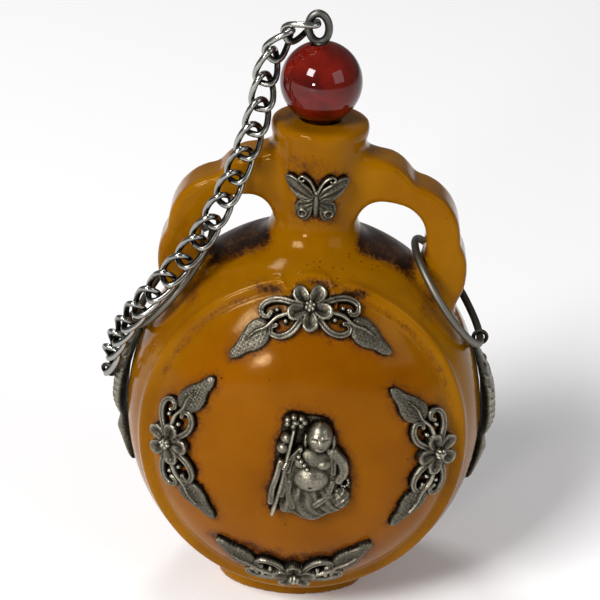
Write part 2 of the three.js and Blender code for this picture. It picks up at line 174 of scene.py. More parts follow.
def addNode(tree, kind, inputs=None, **settings):
    node = tree.nodes.new(kind)
    for key, value in settings.items():
        setattr(node, key, value)
    setInputs(tree, node, inputs or {})
    return node


def addNoise(tree, look, **more):  # look is the size in mm, detail and roughness
    place = addNode(tree, "ShaderNodeTexCoord").outputs["Object"]
    inputs = {"Vector": place, "Scale": 1 / (look[0] * mm), "Detail": look[1], "Roughness": look[2], **more}
    return addNode(tree, "ShaderNodeTexNoise", inputs).outputs["Fac"]


def addMath(tree, operation, *values):
    return addNode(tree, "ShaderNodeMath", dict(enumerate(values)), operation=operation).outputs[0]


def addWander(tree, noise, gain):  # noise made to swing round zero
    return addMath(tree, "MULTIPLY_ADD", noise, gain, -gain / 2)


def addRange(tree, value, start, end=(0, 1)):
    inputs = {"Value": value, "From Min": start[0], "From Max": start[1], "To Min": end[0], "To Max": end[1]}
    return addNode(tree, "ShaderNodeMapRange", inputs).outputs["Result"]


def addMix(tree, share, first, second):
    inputs = {"Factor": share, "A": first, "B": second}
    return addNode(tree, "ShaderNodeMix", inputs, data_type="RGBA").outputs["Result"]


def addBump(tree, height, look):  # look is the strength and the depth in mm
    inputs = {"Height": height, "Strength": look[0], "Distance": look[1] * mm}
    return addNode(tree, "ShaderNodeBump", inputs).outputs["Normal"]


def readAttribute(tree, name):
    return addNode(tree, "ShaderNodeAttribute", attribute_name=name).outputs["Fac"]


def newMaterial(name):
    material = bpy.data.materials.new(name)
    material.use_nodes = True
    tree = material.node_tree
    return material, tree, tree.nodes["Principled BSDF"]


def setStops(ramp, stops):  # position and colour pairs
    elements = ramp.color_ramp.elements
    while len(elements) < len(stops):
        elements.new(0.5)
    for element, (place, colour) in zip(elements, stops):
        element.position = place
        element.color = hexColour(colour)


def clearInputs(look):  # shader values of a material that light goes a little way into
    return {
        "IOR": look["ior"], "Specular IOR Level": look["specular"], "Subsurface Weight": look["glow"],
        "Subsurface Radius": look["glowTint"], "Subsurface Scale": look["glowDepth"] * mm,
    }


# amber resin, cast and polished: clear deep gloss over honey colour, brown dirt in the hollows

resinLook = {
    "honey": "#865700", "orange": "#7d4800", "deep": "#603300", "stain": "#4f2610", "dirt": "#150b06",
    "cloud": (14, 3, 0.55), "blotch": (2.2, 5, 0.62), "grain": (0.45, 4, 0.7),
    "cloudFrom": (0.38, 0.7), "cloudTo": (0, 0.6),
    "blotchGain": 1.3, "grainGain": 2.0, "grimeGate": (0.03, 0.3),
    "stainFrom": (0.15, 0.75), "stainTo": (0, 0.85), "dirtFrom": (0.55, 1.0), "dirtTo": (0, 0.95),
    "pitSpacing": 0.9, "pitEdge": (0.2, 0.12), "roughness": (0.13, 0.42), "bump": (0.06, 0.4),
    "ior": 1.55, "specular": 0.12, "specularTint": "#ffe0a4",
    "glow": 0.2, "glowTint": (1.0, 0.45, 0.08), "glowDepth": 3.0,
}


def makeResin(look):
    material, tree, shader = newMaterial("amberResinPolished")
    names = ("honey", "orange", "deep", "stain", "dirt")
    honey, orange, deep, brown, black = (hexColour(look[name]) for name in names)
    blotch = addNoise(tree, look["blotch"])
    cloud = addRange(tree, addNoise(tree, look["cloud"]), look["cloudFrom"], look["cloudTo"])
    colour = addMix(tree, readAttribute(tree, "tone"), honey, orange)
    colour = addMix(tree, cloud, colour, deep)
    # dirt takes hold where the mask and two noises agree
    grime = readAttribute(tree, "grime")
    gate = addRange(tree, grime, look["grimeGate"])
    spread = addWander(tree, blotch, look["blotchGain"])
    speck = addWander(tree, addNoise(tree, look["grain"]), look["grainGain"])
    both = addMath(tree, "MULTIPLY_ADD", addMath(tree, "ADD", spread, speck), gate, grime)
    stain = addRange(tree, both, look["stainFrom"], look["stainTo"])
    colour = addMix(tree, stain, colour, brown)
    colour = addMix(tree, addRange(tree, both, look["dirtFrom"], look["dirtTo"]), colour, black)
    # pinholes left by bubbles, one in some cells
    place = addNode(tree, "ShaderNodeTexCoord").outputs["Object"]
    cells = addNode(tree, "ShaderNodeTexVoronoi", {"Vector": place, "Scale": 1 / (look["pitSpacing"] * mm)})
    chance = addNode(tree, "ShaderNodeSeparateColor", {"Color": cells.outputs["Color"]}).outputs[0]
    chosen = addMath(tree, "LESS_THAN", chance, readAttribute(tree, "pits"))
    pit = addMath(tree, "MULTIPLY", addRange(tree, cells.outputs["Distance"], look["pitEdge"]), chosen)
    setInputs(tree, shader, {
        "Base Color": addMix(tree, pit, colour, black),
        "Roughness": addRange(tree, stain, (0, 1), look["roughness"]),
        "Normal": addBump(tree, blotch, look["bump"]), "Specular Tint": hexColour(look["specularTint"]),
        **clearInputs(look)})
    return material


# antiqued white metal, cast and rubbed: black left in the recesses, grey shine on the high places

castLook = {
    "stops": [(0.12, "#13100c"), (0.38, "#3c382f"), (0.62, "#6e6a5d"), (0.9, "#a8a291")],  # recess to rubbed
    "grain": (0.3, 3, 0.6), "grainGain": 0.6, "roughFrom": (0.2, 0.85), "roughTo": (0.6, 0.3),
    "bump": (0.25, 0.1),
}


def makeCast(look):
    material, tree, shader = newMaterial("whiteMetalAntiqued")
    grain = addNoise(tree, look["grain"])
    level = addMath(tree, "ADD", readAttribute(tree, "relief"), addWander(tree, grain, look["grainGain"]))
    ramp = addNode(tree, "ShaderNodeValToRGB", {"Fac": level})
    setStops(ramp, look["stops"])
    setInputs(tree, shader, {
        "Base Color": ramp.outputs["Color"],
        "Roughness": addRange(tree, level, look["roughFrom"], look["roughTo"]),
        "Normal": addBump(tree, grain, look["bump"]), "Metallic": 1.0})
    return material


# drawn steel and iron wire: painted light on the outside of a bend, painted shade inside it where links rub,
# and smoky dirt where it stays

wireLook = {
    "chain": ("steelWireBright", "#1f1d1a", "#9d9d97", 0.17, (0.15, 0.7)),  # dark, bright, roughness, range
    "ring": ("ironWireDull", "#47443d", "#6f6c61", 0.48, (0.2, 0.8)),
    "eye": ("ironWireDark", "#33332f", "#6d6c66", 0.4, (0.25, 0.8)),
    "smoke": (1.4, 4, 0.6), "smokeGain": 0.9, "smokeRough": 0.2,
}


def makeWire(kind):
    name, dark, bright, rough, ends = wireLook[kind]
    material, tree, shader = newMaterial(name)
    smoke = addWander(tree, addNoise(tree, wireLook["smoke"]), wireLook["smokeGain"])
    # relief holds the painted light and shade of the bend, the smoke noise is dirt
    share = addRange(tree, addMath(tree, "ADD", readAttribute(tree, "relief"), smoke), ends)
    setInputs(tree, shader, {
        "Base Color": addMix(tree, share, hexColour(dark), hexColour(bright)), "Metallic": 1.0,
        "Roughness": addRange(tree, share, (0, 1), (rough + wireLook["smokeRough"], rough))})
    return material


# carnelian, tumbled to a high polish: deep red with cloudy warm bands, glassy reflections

stoneLook = {
    "dark": "#3c0602", "warm": "#6c1308", "cloud": (6, 3, 0.5), "swirl": 0.6, "cloudFrom": (0.35, 0.7),
    "roughness": 0.04, "ior": 1.54, "specular": 0.3, "glow": 0.15, "glowTint": (1.0, 0.2, 0.1),
    "glowDepth": 2.0,
}


def makeStone(look):
    material, tree, shader = newMaterial("carnelianPolished")
    share = addRange(tree, addNoise(tree, look["cloud"], Distortion=look["swirl"]), look["cloudFrom"])
    setInputs(tree, shader, {
        "Base Color": addMix(tree, share, hexColour(look["dark"]), hexColour(look["warm"])),
        "Roughness": look["roughness"], **clearInputs(look)})
    return material


resin = makeResin(resinLook)
cast = makeCast(castLook)
chainWire, ringWire, eyeWire = (makeWire(kind) for kind in ("chain", "ring", "eye"))
carnelian = makeStone(stoneLook)
print("materials made")


# curves and surfaces that the pieces follow

def smoothRoute(knots, count):  # smooth curve through the knots
    knots = np.asarray(knots, float)
    ends = np.vstack([2 * knots[0] - knots[1], knots, 2 * knots[-1] - knots[-2]])
    t = np.linspace(0, len(knots) - 1, count)
    i = np.minimum(t.astype(int), len(knots) - 2)
    w = (t - i)[:, None]
    p0, p1, p2, p3 = (ends[i + k] for k in range(4))
    pairs = ((p0, p1), (p1, p2), (p2, p3))
    d0, d1, d2 = (np.linalg.norm(b - a, axis=1, keepdims=True) ** 0.5 for a, b in pairs)
    m1 = ((p1 - p0) / d0 - (p2 - p0) / (d0 + d1) + (p2 - p1) / d1) * d1
    m2 = ((p2 - p1) / d1 - (p3 - p1) / (d1 + d2) + (p3 - p2) / d2) * d1
    blend = (2 * w**3 - 3 * w**2 + 1) * p1 + (w**3 - 2 * w**2 + w) * m1
    return blend + (3 * w**2 - 2 * w**3) * p2 + (w**3 - w**2) * m2


def roundOutline(knots, count):  # closed smooth outline
    wrapped = [*knots[-2:], *knots, *knots[:3]]
    route = smoothRoute(wrapped, (len(wrapped) - 1) * count + 1)
    return route[2 * count:(2 + len(knots)) * count + 1]


def ringOf(count, middle, reach, start=0.0):  # places round an oval
    turns = [2 * math.pi * k / count + start for k in range(count)]
    return [(middle[0] + reach[0] * math.cos(t), middle[1] + reach[1] * math.sin(t)) for t in turns]


bodyShape = {
    "halfWidth": 28.0, "halfHeight": 30.5, "halfDepth": 21.4, "power": 2.45, "centreZ": 32.0,
    "ridgeHalfWidth": 24.9, "ridgeHalfHeight": 27.4, "ridge": 0.3, "ridgeSpread": 0.42,
    "sink": 0.9, "slope": 1.3,
    "headFrom": 15, "headTo": 20, "headShift": 0.35, "cuspX": 3.5, "cuspDrop": 2.1, "cuspSpread": 0.75,
    "crownRise": 0.35, "crownSpread": 2.0,
}


def onPanel(u, v, h):  # u right, v up along the sunk face from its middle, h proud of it
    a, c, t = (bodyShape[k] - bodyShape["sink"] for k in ("halfWidth", "halfHeight", "halfDepth"))
    power = bodyShape["power"]
    goal = np.hypot(u, v)
    safe = np.where(goal > tiny, goal, 1)
    dx = np.where(goal > tiny, u / safe, 0)
    dz = np.where(goal > tiny, v / safe, 1)
    reach = 1 / np.hypot(dx / a, dz / c)
    stride, farthest = 0.002, 0.972  # shares of the way to the body's edge
    depth = t * (1 - np.arange(0, farthest, stride) ** power) ** (1 / power)
    rho = np.zeros_like(goal)
    walked = np.zeros_like(goal)
    for fall in np.diff(depth):
        length = np.hypot(stride * reach, fall)
        rho += stride * np.clip((goal - walked) / length, 0, 1)
        walked += length
    x, z = rho * reach * dx, rho * reach * dz
    y = -t * (1 - rho**power) ** (1 / power)
    lean = np.where(rho > 0, np.maximum(rho, tiny) ** (power - 2), 0)
    normal = unit(np.stack([lean * x / a**2, -((-y / t) ** (power - 1)) / t, lean * z / c**2], axis=1))
    return np.stack([x, y, bodyShape["centreZ"] + z], axis=1) + normal * h[:, None]


neckShape = {
    "rimZ": 80.5, "lipRadius": 7.45, "lipHeight": 2.2, "lipStep": 0.25, "lipGap": 0.35,
    "lipCurve": [(-0.32, 0), (0, 0.4)], "rimCurve": [(0, -0.4), (-0.45, 0)],
    "waistRadius": 6.35, "waistZ": 66.0, "widening": 1.3, "waistSteps": 14,
    "flareRadius": 9.2, "flareZ": 60.5, "flareCurve": [(7.4, 62.4), (6.6, 64)],
    "rootZ": 54, "sides": 128, "boreRadius": 3.0, "boreBottomZ": 56.0, "boreChamfer": 0.3, "boreLift": 0.02,
    "boreAbove": 1, "boreSides": 64, "boreStart": 0.03,  # a small turn keeps it off the chamber's edges
}


def neckRadius(z):
    n = neckShape
    share = np.clip((z - n["waistZ"]) / (n["rimZ"] - n["lipHeight"] - n["waistZ"]), 0, 1) ** n["widening"]
    return n["waistRadius"] + (n["lipRadius"] - n["lipStep"] - n["waistRadius"]) * share


# low castings: a fine grid cut to the outline, given a back, and bent on to the surface

def toRoute(u, v, route):  # distance to a drawn line and the share along it
    best = np.full(u.shape, np.inf)
    along = np.zeros(u.shape)
    for k in range(len(route) - 1):
        start, run = route[k], route[k + 1] - route[k]
        s = np.clip(((u - start[0]) * run[0] + (v - start[1]) * run[1]) / max(run @ run, tiny), 0, 1)
        d = np.hypot(u - start[0] - s * run[0], v - start[1] - s * run[1])
        along = np.where(d < best, (k + s) / (len(route) - 1), along)
        best = np.minimum(d, best)
    return best, along


def insideOutline(u, v, outline):  # distance to the outline, positive inside it
    inside = np.zeros(u.shape, bool)
    for (x0, y0), (x1, y1) in zip(outline[:-1], outline[1:]):
        if y0 == y1:
            continue
        inside ^= ((y0 > v) != (y1 > v)) & (u < (x1 - x0) * (v - y0) / (y1 - y0) + x0)
    distance = toRoute(u, v, outline)[0]
    return np.where(inside, distance, -distance)


def local(u, v, at, turn):
    du, dv = u - at[0], v - at[1]
    return du * math.cos(turn) + dv * math.sin(turn), dv * math.cos(turn) - du * math.sin(turn)


def dome(u, v, at, half, height, edge=0.0, turn=0.0):
    s, t = local(u, v, at, turn)
    r = np.hypot(s / half[0], t / half[1])
    return (1 - r) * min(half), edge + height * np.sqrt(np.clip(1 - r * r, 0, 1))


def wire(u, v, knots, width, height, edge=0.0, groove=0.0, count=20):  # half widths at both ends
    d, along = toRoute(u, v, smoothRoute(knots, count))
    w = width[0] + (width[1] - width[0]) * along
    h = edge + height * np.sqrt(np.clip(1 - (d / w) ** 2, 0, 1))
    return w - d, h - groove * hill(d, 0.35 * w)  # the groove takes a third of the width


def plate(u, v, outline, height, roll):  # flat with a rolled edge
    d = insideOutline(u, v, outline)
    t = 1 - np.clip(d / roll, 0, 1)
    return d, height * np.sqrt(1 - t * t)


def merged(forms):  # outline distance and height of all forms together
    f = np.maximum.reduce([form[0] for form in forms])
    h = np.maximum.reduce([np.where(form[0] > 0, form[1], 0) for form in forms])
    return f, h


def ripple(u, v, size):  # small even unevenness, 0 to 1, from four crossing waves
    k = 2 * math.pi / size
    wave = np.sin(k * (u + 0.31 * v)) * np.sin(k * (0.93 * v - 0.42 * u) + 1.3)
    finer = 0.25 * np.sin(1.7 * k * (0.6 * u + 0.8 * v) + 2.1) * np.sin(1.9 * k * (u - 0.5 * v))
    return 0.5 + 0.25 * wave + finer


def cutGrid(box, spacing, forms):  # flat grid of the cells that touch the outline, front at 1 and back at 0
    low, high = np.array(box[0]), np.array(box[1])
    cells = np.ceil((high - low) / spacing).astype(int)
    deselectAll()
    bpy.ops.mesh.primitive_grid_add(x_subdivisions=int(cells[0]), y_subdivisions=int(cells[1]), size=1)
    obj = bpy.context.object
    flat = (low + high) / 2 + getPoints(obj)[:, :2] * (high - low)
    setPoints(obj, np.column_stack([flat, np.zeros(len(flat))]))
    corners = np.array([p.vertices for p in obj.data.polygons])
    column, row = np.floor((flat[corners].mean(axis=1) - low) / ((high - low) / cells)).astype(int).T
    kept = np.zeros(cells + 1, bool)
    kept[column, row] = (forms(*flat.T)[0][corners] > 0).any(axis=1)
    for _ in range(3):  # cells that meet only at a corner get a neighbour
        a, b, c, d = kept[:-1, :-1], kept[1:, :-1], kept[:-1, 1:], kept[1:, 1:]
        kept[1:, :-1] |= a & d & ~b & ~c
        kept[:-1, :-1] |= b & c & ~a & ~d
    makeActive(obj)
    bpy.ops.object.mode_set(mode="EDIT")
    bpy.ops.mesh.select_mode(type="FACE")
    bpy.ops.mesh.select_all(action="DESELECT")
    bpy.ops.object.mode_set(mode="OBJECT")
    obj.data.polygons.foreach_set("select", ~kept[column, row])
    bpy.ops.object.mode_set(mode="EDIT")
    bpy.ops.mesh.delete(type="FACE")
    bpy.ops.mesh.select_mode(type="VERT")
    bpy.ops.mesh.select_all(action="SELECT")
    bpy.ops.mesh.extrude_region_move(TRANSFORM_OT_translate={"value": (0, 0, 1)})
    bpy.ops.object.mode_set(mode="OBJECT")
    return obj


reliefLook = {  # front above and back below the surface, then how shade follows relief
    "rim": 0.35, "sunk": 0.25, "spread": 24, "gain": 1.3, "base": 0.4, "lift": 0.08, "back": 0.1,
}


def castRelief(shape, forms, seat):
    look = {**reliefLook, **shape["relief"]}
    obj = cutGrid(shape["box"], shape["spacing"], forms)
    co = getPoints(obj)
    u, v, top = co[:, 0].copy(), co[:, 1].copy(), co[:, 2] > 0.5
    nudge, leastSlope = 0.02, 0.25
    f = forms(u, v)[0]
    fu = (forms(u + nudge, v)[0] - f) / nudge
    fv = (forms(u, v + nudge)[0] - f) / nudge
    pull = np.where(f < 0, -f / np.maximum(fu * fu + fv * fv, leastSlope), 0)
    pull = np.clip(pull, 0, 1.5 * shape["spacing"])  # edge corners go on to the outline
    u, v = u + pull * fu, v + pull * fv
    h = forms(u, v)[1]
    edges = meshEdges(obj)
    edges = edges[top[edges].all(axis=1)]
    wide = h.copy()
    for _ in range(look["spread"]):
        wide = np.where(top, 0.5 * wide + 0.5 * neighbourMean(wide, edges, len(wide)), wide)
    relief = np.where(top, look["base"] + look["gain"] * (h - wide) + look["lift"] * h, look["back"])
    setPoints(obj, seat(u, v, np.where(top, look["rim"] + h, -look["sunk"])))
    setAttribute(obj, "relief", np.clip(relief, 0, 1))
    turnOutwards(obj, merge=False)
    return obj


# floral spray: five-petalled flower, scrolls and a stippled leaf on each hand

petalShape = {
    "count": 5, "reach": 2.0, "half": (1.6, 1.18), "flare": 0.16, "middle": 0.7, "cup": 0.55, "brim": 0.82,
    "rise": 0.12, "fall": 0.9, "crease": 0.16, "creaseWidth": 0.16, "creaseEnd": 0.9, "creaseFade": 0.6,
    "least": 0.2,
}
sprayShape = {
    "box": ((-12.9, -8.2), (12.9, 4.4)), "spacing": 0.13, "relief": {},
    "places": {  # distance from the panel's middle, turn round it and tilt
        "top": (25.0, 0.0, 0.07), "left": (20.9, 1.54, 0.07),
        "bottom": (22.8, math.pi, 0.05), "right": (21.3, -1.5, 0.0),
    },
    "heart": [((0, 0), (0.95, 0.95), 0.75, 0.55), ((0, 0), (0.36, 0.36), 0.6, 1.4)],
    "stamens": (6, (0, 0), (0.58, 0.58), 0.3), "stamen": ((0.3, 0.3), 0.5, 1.2),
    "leaf": [(5.9, -2.8), (7.0, -1.6), (8.7, -1.8), (10.1, -3.3), (11.3, -5.4), (12.4, -6.9), (12.1, -7.8),
             (10.8, -7.6), (9.5, -6.8), (7.9, -6.3), (6.3, -5.0)],
    "leafPlate": (0.9, 0.8), "inland": (0.15, 0.5), "ragged": (0.16, 1.5),
    "stipple": ((0.17, 0.7), (0.11, 0.45)),
    "wires": [  # upper scroll, lower scroll and stem: knots, half widths, height, edge and groove
        ([(2.1, 0.5), (4.3, 1.1), (6.2, 0.95), (7.4, 0.0), (7.2, -1.2), (6.3, -1.35), (5.9, -0.7)],
         (0.6, 0.42), 0.85, 0.2, 0.3),
        ([(1.4, -1.9), (2.9, -3.6), (4.5, -4.2), (5.8, -3.8), (5.8, -2.9), (5.1, -2.6)],
         (0.62, 0.4), 0.8, 0.2, 0.3),
        ([(2.8, -0.75), (5.0, -1.5), (6.6, -2.9), (8.2, -3.6), (9.7, -4.9)], (0.4, 0.12), 0.6, 0.5),
    ],
    "beads": [(5.0, -0.35), (3.7, -2.0)], "bead": ((0.45, 0.45), 0.75, 0.2),
}
leafOutline = roundOutline(sprayShape["leaf"], 5)


def petal(u, v, turn):
    p = petalShape
    s, t = local(u, v, (p["reach"] * math.cos(turn), p["reach"] * math.sin(turn)), turn)
    r = np.hypot(s / p["half"][0], t / (p["half"][1] * (1 + p["flare"] * s)))
    cup = p["middle"] + p["cup"] * np.clip(r, 0, p["brim"]) ** 2 + p["rise"] * s
    cup = cup - p["fall"] * np.clip(r - p["brim"], 0, 1)
    crease = p["crease"] * hill(t, p["creaseWidth"]) * step(p["creaseEnd"] - s, 0, p["creaseFade"])
    return (1 - r) * p["half"][1], np.maximum(cup - crease, p["least"])


def sprayForms(u, v):
    s = sprayShape
    x = np.abs(u)
    count = petalShape["count"]
    forms = [petal(u, v, -math.pi / 2 + 2 * math.pi * k / count) for k in range(count)]
    forms += [dome(u, v, *row) for row in s["heart"]]
    forms += [dome(u, v, at, *s["stamen"]) for at in ringOf(*s["stamens"])]
    leaf, height = plate(x, v, leafOutline, *s["leafPlate"])
    (coarse, coarseSize), (fine, fineSize) = s["stipple"]
    stipple = (coarse * ripple(u, v, coarseSize) + fine * ripple(v, u, fineSize)) * step(leaf, *s["inland"])
    ragged, raggedSize = s["ragged"]
    forms.append((leaf - ragged * ripple(u, v, raggedSize), height - stipple))
    forms += [wire(x, v, *row) for row in s["wires"]]
    forms += [dome(x, v, at, *s["bead"]) for at in s["beads"]]
    return merged(forms)


def turned(u, v, turn):
    return u * math.cos(turn) - v * math.sin(turn), u * math.sin(turn) + v * math.cos(turn)


def seatSpray(distance, turn, tilt, back):
    def seat(u, v, h):
        u, v = turned(u, v, tilt)
        spot = onPanel(*turned(u, distance + v, turn), h)
        return spot * np.array([-1, -1, 1]) if back else spot
    return seat


castings = []
for face in ("front", "back"):
    for place, where in sprayShape["places"].items():
        spray = castRelief(sprayShape, sprayForms, seatSpray(*where, face == "back"))
        castings.append((spray, f"spray_{face}_{place}"))
print("sprays cast")


# butterfly on the neck: veined wings, a slim body and curled feelers

butterflyShape = {
    "box": ((-4.9, -4.2), (4.9, 3.9)), "spacing": 0.085, "middleZ": 70.4,
    "relief": {"rim": 0.25, "spread": 10, "gain": 2.2},
    "foreWing": [(0.15, 0.2), (0.5, 1.3), (2.0, 2.5), (3.7, 3.35), (4.65, 3.1), (4.5, 2.1), (3.6, 0.7),
                 (2.3, -0.5), (0.8, -0.7)],
    "hindWing": [(0.1, -0.3), (1.2, -0.4), (2.5, -0.6), (3.0, -1.9), (2.7, -3.2), (1.8, -3.9), (0.9, -3.5),
                 (0.3, -1.9)],
    "forePlate": (0.55, 0.3), "hindPlate": (0.5, 0.3), "inland": (0.25, 0.5), "tipRise": 0.04,
    "fanFrom": (-0.3, -0.4), "veins": 17, "foreVein": 0.2, "hindVein": 0.14,
    "spotAt": (1.8, -2.6), "spotRadius": 0.55, "spotSpread": 0.2, "spotHeight": 0.25,
    "body": [((0, -1.1), (0.42, 2.3), 0.75, 0.2), ((0, 0.95), (0.45, 0.5), 0.8, 0.2)],
    "feeler": ([(0.1, 0.8), (0.5, 2.0), (1.2, 3.1), (2.1, 3.5), (2.5, 3.0), (2.1, 2.6), (1.8, 2.9)],
               (0.24, 0.2), 0.5, 0.35, 0.0, 28),
}
foreWing = roundOutline(butterflyShape["foreWing"], 5)
hindWing = roundOutline(butterflyShape["hindWing"], 5)


def butterflyForms(u, v):
    b = butterflyShape
    x = np.abs(u)
    fore, foreHeight = plate(x, v, foreWing, *b["forePlate"])
    hind, hindHeight = plate(x, v, hindWing, *b["hindPlate"])
    fan = np.arctan2(v - b["fanFrom"][1], x - b["fanFrom"][0])
    veins = 0.5 + 0.5 * np.cos(fan * b["veins"])
    foreHeight = foreHeight - b["foreVein"] * veins * step(fore, *b["inland"])
    foreHeight = foreHeight + b["tipRise"] * np.hypot(x, v)
    spot = hill(np.hypot(x - b["spotAt"][0], v - b["spotAt"][1]) - b["spotRadius"], b["spotSpread"])
    hindVeins = b["hindVein"] * veins * step(hind, *b["inland"]) * (1 - spot)
    forms = [(fore, foreHeight), (hind, hindHeight + b["spotHeight"] * spot - hindVeins)]
    forms += [dome(u, v, *row) for row in b["body"]]
    forms.append(wire(x, v, *b["feeler"]))
    return merged(forms)


def onNeck(u, v, h):  # u round the neck, v up from the butterfly's middle
    z = butterflyShape["middleZ"] + v
    radius = neckRadius(z) + h
    angle = u / neckRadius(z)
    return np.stack([radius * np.sin(angle), -radius * np.cos(angle), z], axis=1)


castings.append((castRelief(butterflyShape, butterflyForms, onNeck), "butterfly"))


# monk: pot-bellied standing figure in low relief, with a staff, gourd, beads and a sack

monkShape = {
    "centre": (1.3, 0.1), "box": ((-6.2, -9.3), (6.8, 9.5)), "spacing": 0.11,
    "relief": {"rim": 0.4, "spread": 36, "gain": 0.8, "base": 0.32, "lift": 0.12},
    "ground": [(-4.9, 4.2), (-4.4, 6.4), (-4.1, 8.6), (-2.6, 9.3), (-0.7, 8.9), (1.2, 8.8), (2.8, 8.0),
               (3.5, 5.9), (4.0, 4.0), (5.6, 2.2), (6.2, -1.2), (6.45, -4.6), (5.7, -6.8), (3.5, -7.7),
               (1.6, -8.8), (-0.6, -8.9), (-2.2, -8.0), (-4.0, -7.7), (-5.6, -8.1), (-5.9, -5.4),
               (-5.4, -1.4), (-5.2, 1.8)],
    "groundPlate": (0.4, 0.35), "groundRipple": (0.2, 0.7),
    "robe": [(-3.7, 1.6), (-2.2, 3.9), (0.6, 3.6), (3.4, 4.0), (4.8, 1.8), (4.6, -2.6), (5.4, -6.3),
             (3.3, -7.5), (1.5, -8.6), (-0.6, -8.6), (-2.2, -7.7), (-4.0, -7.4), (-4.6, -4.2)],
    "robePlate": (1.5, 1.6), "sway": (0.35, 0.75), "fan": 0.12, "fanFrom": (0.3, -3),
    "folds": ((0.16, 3.0, 0), (0.12, 5.6, 0.45)), "foldEdge": (0.1, 0.8), "foldFall": (1.0, 3.0),
    "hem": 0.3, "hemInset": 0.4, "hemSpread": 0.28, "hemFall": (4.5, 6.0),
    "domes": {  # middle, half sizes, height, height of the edge and turn
        "chest": ((0.5, 2.0), (3.2, 2.1), 1.8, 0.2),
        "breastLeft": ((-1.2, 1.6), (1.35, 0.95), 1.15, 1.1, -0.25),
        "breastRight": ((2.0, 1.5), (1.4, 0.95), 1.15, 1.1, 0.25),
        "earLeft": ((-0.8, 5.1), (0.4, 1.25), 0.9, 0.6), "earRight": ((3.3, 5.1), (0.4, 1.25), 0.9, 0.6),
        "staffHead": ((-2.4, 8.0), (0.7, 0.5), 1.0, 0.7),
        "gourdTop": ((-3.55, 5.3), (1.0, 0.95), 1.2, 0.5), "gourd": ((-4.0, 3.75), (1.15, 1.0), 1.3, 0.5),
        "handLeft": ((-3.5, 1.3), (0.95, 0.8), 1.3, 0.7, 0.5),
        "handRight": ((4.3, -1.2), (0.85, 0.65), 1.0, 0.9, -0.6),
    },
    "belly": ((0.3, -0.9), (3.0, 2.5), 2.6, 0.4),
    "navelAt": (0.25, -2.0), "navel": 0.5, "navelSpread": 0.26,
    "head": ((1.25, 5.8), (1.95, 2.5), 2.1, 0.7),
    "sack": ((4.75, -4.6), (1.65, 2.0), 1.4, 0.5), "net": 5.2, "netDepth": 0.2, "netCord": (0.55, 0.95),
    "lapels": [[(-1.5, 3.9), (-2.7, 2.2), (-3.1, 0.2)], [(2.7, 3.9), (3.4, 2.2), (3.5, 0.2)]],
    "lapel": ((0.42, 0.5), 0.5, 1.35, 0.25),
    "drapes": [[(-4.3, 1.6), (-4.7, -0.8), (-5.3, -3.2), (-5.4, -5.4)],
               [(-3.7, 0.0), (-3.5, -2.0), (-3.9, -4.0)],
               [(-2.8, -1.8), (-2.9, -4.0), (-2.2, -6.0)], [(3.5, -1.6), (2.8, -4.0), (1.2, -5.6)]],
    "drape": ((0.42, 0.55), 0.5, 1.3, 0.2),
    "staff": ([(-2.6, 6.8), (-3.1, 3.8), (-3.5, 1.2), (-4.2, -3.2), (-5.1, -7.6)], (0.3, 0.38), 0.8, 1.1),
    "arm": ([(3.3, 3.5), (4.6, 2.0), (5.0, 0.2), (4.4, -1.0)], (0.95, 0.8), 1.2, 0.8, 0.15),
    "necklace": [(-1.7, 3.2), (-1.3, 2.4), (-0.8, 1.8), (-0.35, 1.1), (0.2, 0.45), (0.8, -0.1)],
    "neckBead": ((0.36, 0.36), 0.5, 2.2),
    "staffKnots": (7, (-2.4, 8.0), (1.3, 0.72)), "staffKnot": ((0.55, 0.5), 0.8, 0.6),
    "string": (9, (5.25, -1.6), (0.6, 0.7)), "stringBead": ((0.24, 0.24), 0.45, 0.9),
    "fingers": [(-3.35 - 0.1 * k, 1.75 - 0.32 * k) for k in range(4)],
    "finger": ((0.6, 0.17), 0.5, 1.75, 0.2),
}
faceShape = {  # in shares of the head; the lines give height, place, bend, spread and reach
    "eyes": (-0.28, 0.05, 0.5, 0.06, 0.22), "brows": (0.16, 0.26, -0.5, 0.07, 0.27),
    "lips": (-0.24, -0.52, 0.25, 0.05, 0.3), "eyeX": 0.4,
    "nose": 0.34, "noseSpread": 0.13, "noseTip": (-0.32, -0.22), "noseRoot": (-0.12, 0.1),
    "chin": 0.12, "chinZ": -0.74, "chinSpread": (0.3, 0.12),
}
monkGround = roundOutline(monkShape["ground"], 3)
monkRobe = roundOutline(monkShape["robe"], 4)


def faceLine(across, up, height, place, bend, spread, reach):
    return height * hill(up - place - bend * across**2, spread) * (np.abs(across) < reach)


def calmFace(across, up):  # closed eyes and a still mouth
    f = faceShape
    off = np.abs(across) - f["eyeX"]
    nose = f["nose"] * hill(across, f["noseSpread"]) * step(up, *f["noseTip"]) * step(-up, *f["noseRoot"])
    chin = f["chin"] * hill(across, f["chinSpread"][0]) * hill(up - f["chinZ"], f["chinSpread"][1])
    lines = faceLine(off, up, *f["eyes"]) + faceLine(off, up, *f["brows"])
    return lines + nose + faceLine(across, up, *f["lips"]) + chin


def robeForm(u, v):
    s = monkShape
    robe, height = plate(u, v, monkRobe, *s["robePlate"])
    sway = u + s["sway"][0] * np.sin(s["sway"][1] * v)
    sway = sway + s["fan"] * (u - s["fanFrom"][0]) * (v - s["fanFrom"][1])
    fold = sum(depth * np.sin(pace * (sway + slant * v)) for depth, pace, slant in s["folds"])
    fold = fold * step(robe, *s["foldEdge"]) * step(-v, *s["foldFall"])
    hem = s["hem"] * hill(robe - s["hemInset"], s["hemSpread"]) * step(-v, *s["hemFall"])
    return robe, height + fold + hem


